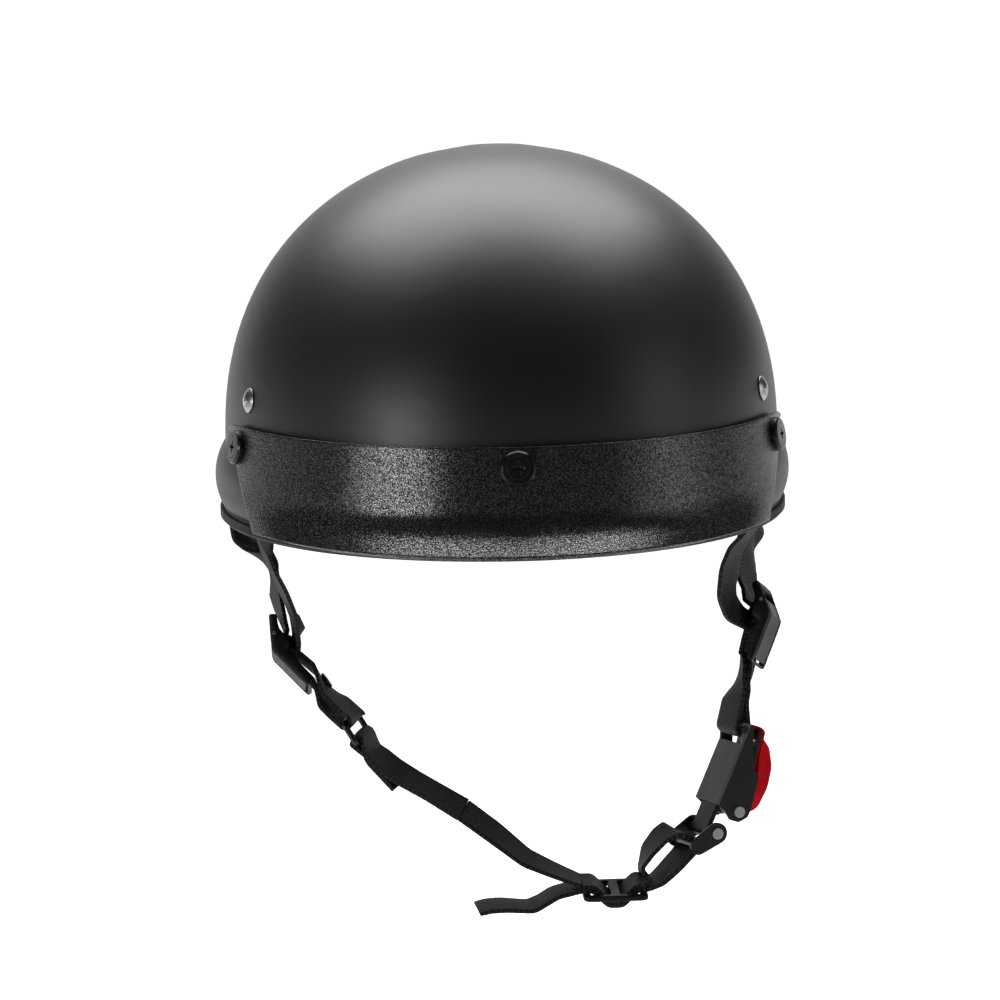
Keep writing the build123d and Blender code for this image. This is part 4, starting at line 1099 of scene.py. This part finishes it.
@dataclass
class PullTab:
    """Red ribbon looped round the bar at the end of the buckle's lever, with its two layers sewn into a grip."""

    finishes: Finishes
    width: float = 0.014
    thickness: float = 0.0010
    grip: tuple[Pair, ...] = ((-6.8, 10.4), (-4.94, 11.9), (-1.04, 14.9), (4.68, 17.7),
                                             (11.7, 19.4), (19.0, 19.6), (22.1, 16.4))
    twist: tuple[float, ...] = (0.0, 22.0, 40.0, 46.0, 44.0, 38.0, 30.0)
    loop: tuple[Pair, ...] = ((-5.6, 9.4), (-4.5, 8.2), (-4.4, 5.4), (-5.2, 4.5), (-8.2, 4.5),
                                             (-9.1, 5.4), (-9.0, 8.2), (-8.0, 9.6))
    layer: float = 0.00055

    def place(self, flat: np.ndarray) -> np.ndarray:
        """Points of the helmet's frame from places along the buckle and out from it, in millimetres."""
        down, out = np.array(Vector(BUCKLE_DOWN).normalized()), np.array(BUCKLE_OUTWARD)
        return np.array(BUCKLE_ORIGIN) + (flat[:, :1] * down + flat[:, 1:] * out) / 1000.0

    def build(self) -> None:
        """Makes the ribbon from one long route, out along one layer and back along the other."""
        wide = np.array(Vector(BUCKLE_WIDE).normalized())
        spine = self.place(np.array(self.grip))
        heading = unit(np.gradient(spine, axis=0))
        upright = np.cross(heading, wide)
        angle = np.radians(np.array(self.twist))[:, None]
        side = wide * np.cos(angle) + upright * np.sin(angle)
        face = np.cross(heading, side)
        inner = np.hstack((spine - face * self.layer, side))
        outer = np.hstack((spine + face * self.layer, side))
        loop = self.place(np.array(self.loop))
        loop = np.hstack((loop, np.repeat(wide[None, :], len(loop), axis=0)))
        rows = np.vstack((outer[::-1][:-1], loop, inner[1:]))
        band = Band("pull_tab_ribbon", rows, self.width, self.thickness, crown=0.0, columns=10,
                    step=0.0008, rounding=0.0003)
        piece = band.build(self.finishes.ribbon)
        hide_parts("pull_tab")
        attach(piece, "lever")
        LOG.info("pull tab: %.0f mm of ribbon", band.length * 1000)


@dataclass
class Mouldings:
    """Small moulded and pressed parts with rounded edges, each in the place of its sharper CAD node."""

    finishes: Finishes
    divider_softness: tuple[float, int] = (0.0008, 18)
    flap_softness: tuple[float, int] = (0.00065, 16)
    slide_softness: tuple[float, int] = (0.00042, 12)

    def round_off(self, node: str, name: str, body: str, softness: tuple[float, int]) -> None:
        """Makes one rounded part from a merged copy of its CAD node.

        Args:
            node: CAD node that the part stands for.
            name: Name of the part.
            body: Body that it moves with.
            softness: Size of the even mesh's faces, and times that the surface is smoothed.
        """
        piece = merged_copy(node, name)
        soften(piece, *softness)
        piece.data.materials.append(self.finishes.moulding)
        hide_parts(node)
        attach(piece, body)
        LOG.info("%s: %d faces", name, len(piece.data.polygons))

    def build(self) -> None:
        """Makes the dividers, their flaps and the strap's slide."""
        for side in Side:
            word = side.name.lower()
            self.round_off(f"divider_{word}", f"divider_frame_{word}", "helmet", self.divider_softness)
            self.round_off(f"divider_flap_{word}", f"divider_lock_{word}", f"flap_{word}",
                           self.flap_softness)
        self.round_off("tri_glide", "strap_slide", "tongue", self.slide_softness)


@dataclass
class Snap:
    """Pressed snap cap on the upper layer of the left loop."""

    finishes: Finishes
    radius: float = 0.0034
    height: float = 0.0011
    sides: int = 48
    inset: float = 0.3
    sink: float = 0.35
    rise: float = 0.45
    edge_width: float = 0.00022
    smooth_angle: float = 45.0
    places: int = 400

    def build(self, band: Band) -> None:
        """Makes the cap on the band, at the place nearest to its CAD node.

        Args:
            band: The webbing that the cap is pressed through.
        """
        low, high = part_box("strap_snap")
        target = np.array((low + high) / 2)
        shares = np.linspace(0.0, 1.0, self.places)
        middle = band.surface(np.full(self.places, 0.5), shares)
        nearest = shares[np.argmin(np.linalg.norm(middle - target, axis=1))]
        place, _, face, _ = band.frame_at(np.array([nearest]))
        face = face[0] if np.dot(face[0], target - place[0]) > 0 else -face[0]
        foot = Vector(place[0] + face * band.thickness / 2)
        bpy.ops.object.select_all(action="DESELECT")
        bpy.ops.mesh.primitive_cylinder_add(vertices=self.sides, radius=self.radius, depth=self.height)
        piece = bpy.context.object
        piece.name = "snap_cap"
        only(piece)
        bpy.ops.object.mode_set(mode="EDIT")
        bpy.ops.mesh.select_all(action="DESELECT")
        bpy.ops.object.mode_set(mode="OBJECT")
        for flat in piece.data.polygons:
            flat.select = flat.normal.z > 0.9
        bpy.ops.object.mode_set(mode="EDIT")
        bpy.ops.mesh.select_mode(type="FACE")
        bpy.ops.mesh.inset(thickness=self.radius * self.inset)
        bpy.ops.transform.translate(value=(0.0, 0.0, -self.height * self.sink))
        bpy.ops.mesh.inset(thickness=self.radius * self.inset)
        bpy.ops.transform.translate(value=(0.0, 0.0, self.height * self.rise))
        bpy.ops.object.mode_set(mode="OBJECT")
        add_modifier(piece, "soft_edges", "BEVEL", width=self.edge_width, segments=3)
        apply_modifiers(piece)
        turn = Vector(face).to_track_quat("Z", "Y").to_matrix().to_4x4()
        piece.data.transform(Matrix.Translation(foot + Vector(face) * self.height / 2) @ turn)
        bpy.ops.object.shade_smooth_by_angle(angle=math.radians(self.smooth_angle))
        piece.data.materials.append(self.finishes.black_metal)
        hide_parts("strap_snap")
        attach(piece, "helmet")
        LOG.info("snap cap: at %.0f mm of the front left webbing", nearest * band.length * 1000)


@dataclass
class Hardware:
    """The CAD nodes that stay, each with its finish."""

    finishes: Finishes

    def build(self) -> None:
        """Gives every carried-over node its finish."""
        f = self.finishes
        finish_of = {
            "outer_shell": f.paint, "eps_liner": f.foam, "edge_trim": f.rubber, "cup_washers": f.black_metal,
            "visor_screws": f.black_metal, "t_nuts": f.steel, "strap_rivets": f.rivet, "rivet_washers": f.steel,
            "divider_pin_left": f.rivet, "divider_pin_right": f.rivet, "wire_ring": f.black_metal,
            "buckle_body": f.buckle, "buckle_bar": f.black_metal, "lever_pin": f.rivet,
            "release_lever": f.black_metal, "lever_spring": f.steel, "tongue": f.dark_steel,
            "strap_bracket": f.black_metal, "bracket_pin": f.rivet,
        }
        for name, material in finish_of.items():
            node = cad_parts[name]
            node.data.materials.clear()
            node.data.materials.append(material)
            LOG.info("%s: %s", name, material.name)


@dataclass(frozen=True)
class Lamp:
    """Soft rectangular lamp that points at the helmet."""

    name: str
    place: Point
    size: Pair
    power: float
    aim: Point = (0.0, 0.0, 0.05)

    def build(self) -> None:
        """Adds the lamp."""
        data = bpy.data.lights.new(self.name, "AREA")
        data.shape = "RECTANGLE"
        data.size, data.size_y = self.size
        data.energy = self.power
        lamp = bpy.data.objects.new(self.name, data)
        bpy.context.scene.collection.objects.link(lamp)
        lamp.location = self.place
        lamp.rotation_mode = "QUATERNION"
        lamp.rotation_quaternion = (Vector(self.place) - Vector(self.aim)).to_track_quat("Z", "Y")


@dataclass
class Studio:
    """Pale floor, soft lamps and the camera."""

    distance: float = 1.5
    lens: float = 130.97
    sensor: float = 36.0
    target: Point = (-0.000965, 0.0, 0.00155)
    back: Point = (-0.0423, -0.9881, 0.1479)
    right: Point = (0.99908, -0.0428, 0.0)
    up: Point = (0.0063, 0.1478, 0.9890)
    roll: float = -1.08
    floor_height: float = -0.42
    floor_size: float = 240.0
    floor_glow: float = 0.85
    farthest: float = 400.0
    fill_level: float = 0.22
    front_level: float = 0.04
    high_level: float = 0.12
    behind_range: Pair = (0.72, 0.99)
    high_range: Pair = (0.15, 0.6)
    floor_range: Pair = (0.8, 3.0)
    lamps: tuple[Lamp, ...] = (
        Lamp("overhead_box", (0.0, 0.60, 1.25), (1.9, 1.1), 33.0),
        Lamp("left_box", (-1.08, -0.92, 0.16), (0.40, 0.22), 3.7),
        Lamp("right_box", (1.35, -0.45, 0.30), (0.6, 0.8), 1.3),
    )

    def camera(self) -> None:
        """Sets the camera at the photograph's angle."""
        data = bpy.data.cameras.new("camera")
        data.lens = self.lens
        data.sensor_width = self.sensor
        data.clip_end = self.farthest
        camera = bpy.data.objects.new("camera", data)
        bpy.context.scene.collection.objects.link(camera)
        turn = math.radians(self.roll)
        right0, up0, back = Vector(self.right), Vector(self.up), Vector(self.back).normalized()
        right = (right0 * math.cos(turn) + up0 * math.sin(turn)).normalized()
        up = back.cross(right).normalized()
        eye = Vector(self.target) + back * self.distance
        camera.matrix_world = Matrix.Translation(eye) @ Matrix((right, up, back)).transposed().to_4x4()
        bpy.context.scene.camera = camera

    def seen(self, sheet: NodeSheet) -> tuple[Socket, Socket]:
        """Tells what kind of ray meets a surface.

        Args:
            sheet: Sheet that the answer is used in.

        Returns:
            Whether the ray is the camera's, and whether it comes by a reflection or through glass.
        """
        path = sheet.add("ShaderNodeLightPath")
        mirrored = sheet.math("MAXIMUM", path.outputs["Is Glossy Ray"], path.outputs["Is Transmission Ray"])
        return path.outputs["Is Camera Ray"], mirrored

    def surroundings(self) -> None:
        """Sets a white world, paler behind the helmet than in front of it in reflections, and adds the floor."""
        world = bpy.data.worlds.new("studio")
        world.use_nodes = True
        sky = NodeSheet.of_world(world)
        camera, mirrored = self.seen(sky)
        parts = sky.add("ShaderNodeSeparateXYZ", {0: sky.coords("Generated")})
        behind = sky.spread(parts.outputs[1], self.front_level, 1.0, *self.behind_range)
        low = sky.spread(parts.outputs[2], 1.0, self.high_level, *self.high_range)
        level = sky.math("MULTIPLY", sky.math("MULTIPLY", behind, low), mirrored)
        soft = sky.math("MULTIPLY", sky.math("SUBTRACT", 1.0, mirrored), self.fill_level)
        strength = sky.math("MAXIMUM", sky.math("ADD", level, soft), camera)
        sky.shader.inputs["Color"].default_value = (1.0, 1.0, 1.0, 1.0)
        sky.feed(sky.shader.inputs["Strength"], strength)
        bpy.context.scene.world = world
        bpy.ops.object.select_all(action="DESELECT")
        bpy.ops.mesh.primitive_plane_add(size=self.floor_size, location=(0.0, 0.0, self.floor_height))
        floor = bpy.context.object
        floor.name = "floor"
        sheet = NodeSheet("pale_floor")
        sheet.dress(Base_Color=(0.86, 0.86, 0.86, 1.0), Roughness=0.9, Specular_IOR_Level=0.0)
        camera, mirrored = self.seen(sheet)
        glow = sheet.add("ShaderNodeEmission", {"Color": (1.0, 1.0, 1.0, 1.0)})
        place = sheet.add("ShaderNodeSeparateXYZ", {0: sheet.coords()})
        behind = sheet.spread(place.outputs[1], self.front_level, 1.0, *self.floor_range)
        shown = sheet.math("MAXIMUM", camera, sheet.math("MULTIPLY", mirrored, behind))
        sheet.feed(glow.inputs["Strength"], sheet.math("MULTIPLY", shown, self.floor_glow))
        both = sheet.add("ShaderNodeAddShader")
        sheet.feed(both.inputs[0], sheet.shader.outputs[0])
        sheet.feed(both.inputs[1], glow.outputs[0])
        sheet.feed(sheet.tree.nodes["Material Output"].inputs["Surface"], both.outputs[0])
        floor.data.materials.append(sheet.material)

    def build(self) -> None:
        """Makes the whole studio."""
        bpy.context.scene.view_settings.view_transform = "Standard"
        self.surroundings()
        for lamp in self.lamps:
            lamp.build()
        self.camera()
        LOG.info("studio: floor, %d lamps and the camera", len(self.lamps))


def main() -> None:
    """Builds every sub-assembly in order."""
    logging.basicConfig(level=logging.INFO, format="%(message)s")
    finishes = Finishes()
    Hardware(finishes).build()
    Visor(finishes).build()
    Mouldings(finishes).build()
    Padding(finishes).build()
    Harness(finishes).build()
    PullTab(finishes).build()
    Studio().build()
    bpy.context.view_layer.update()


if __name__ == "__main__":
    main()
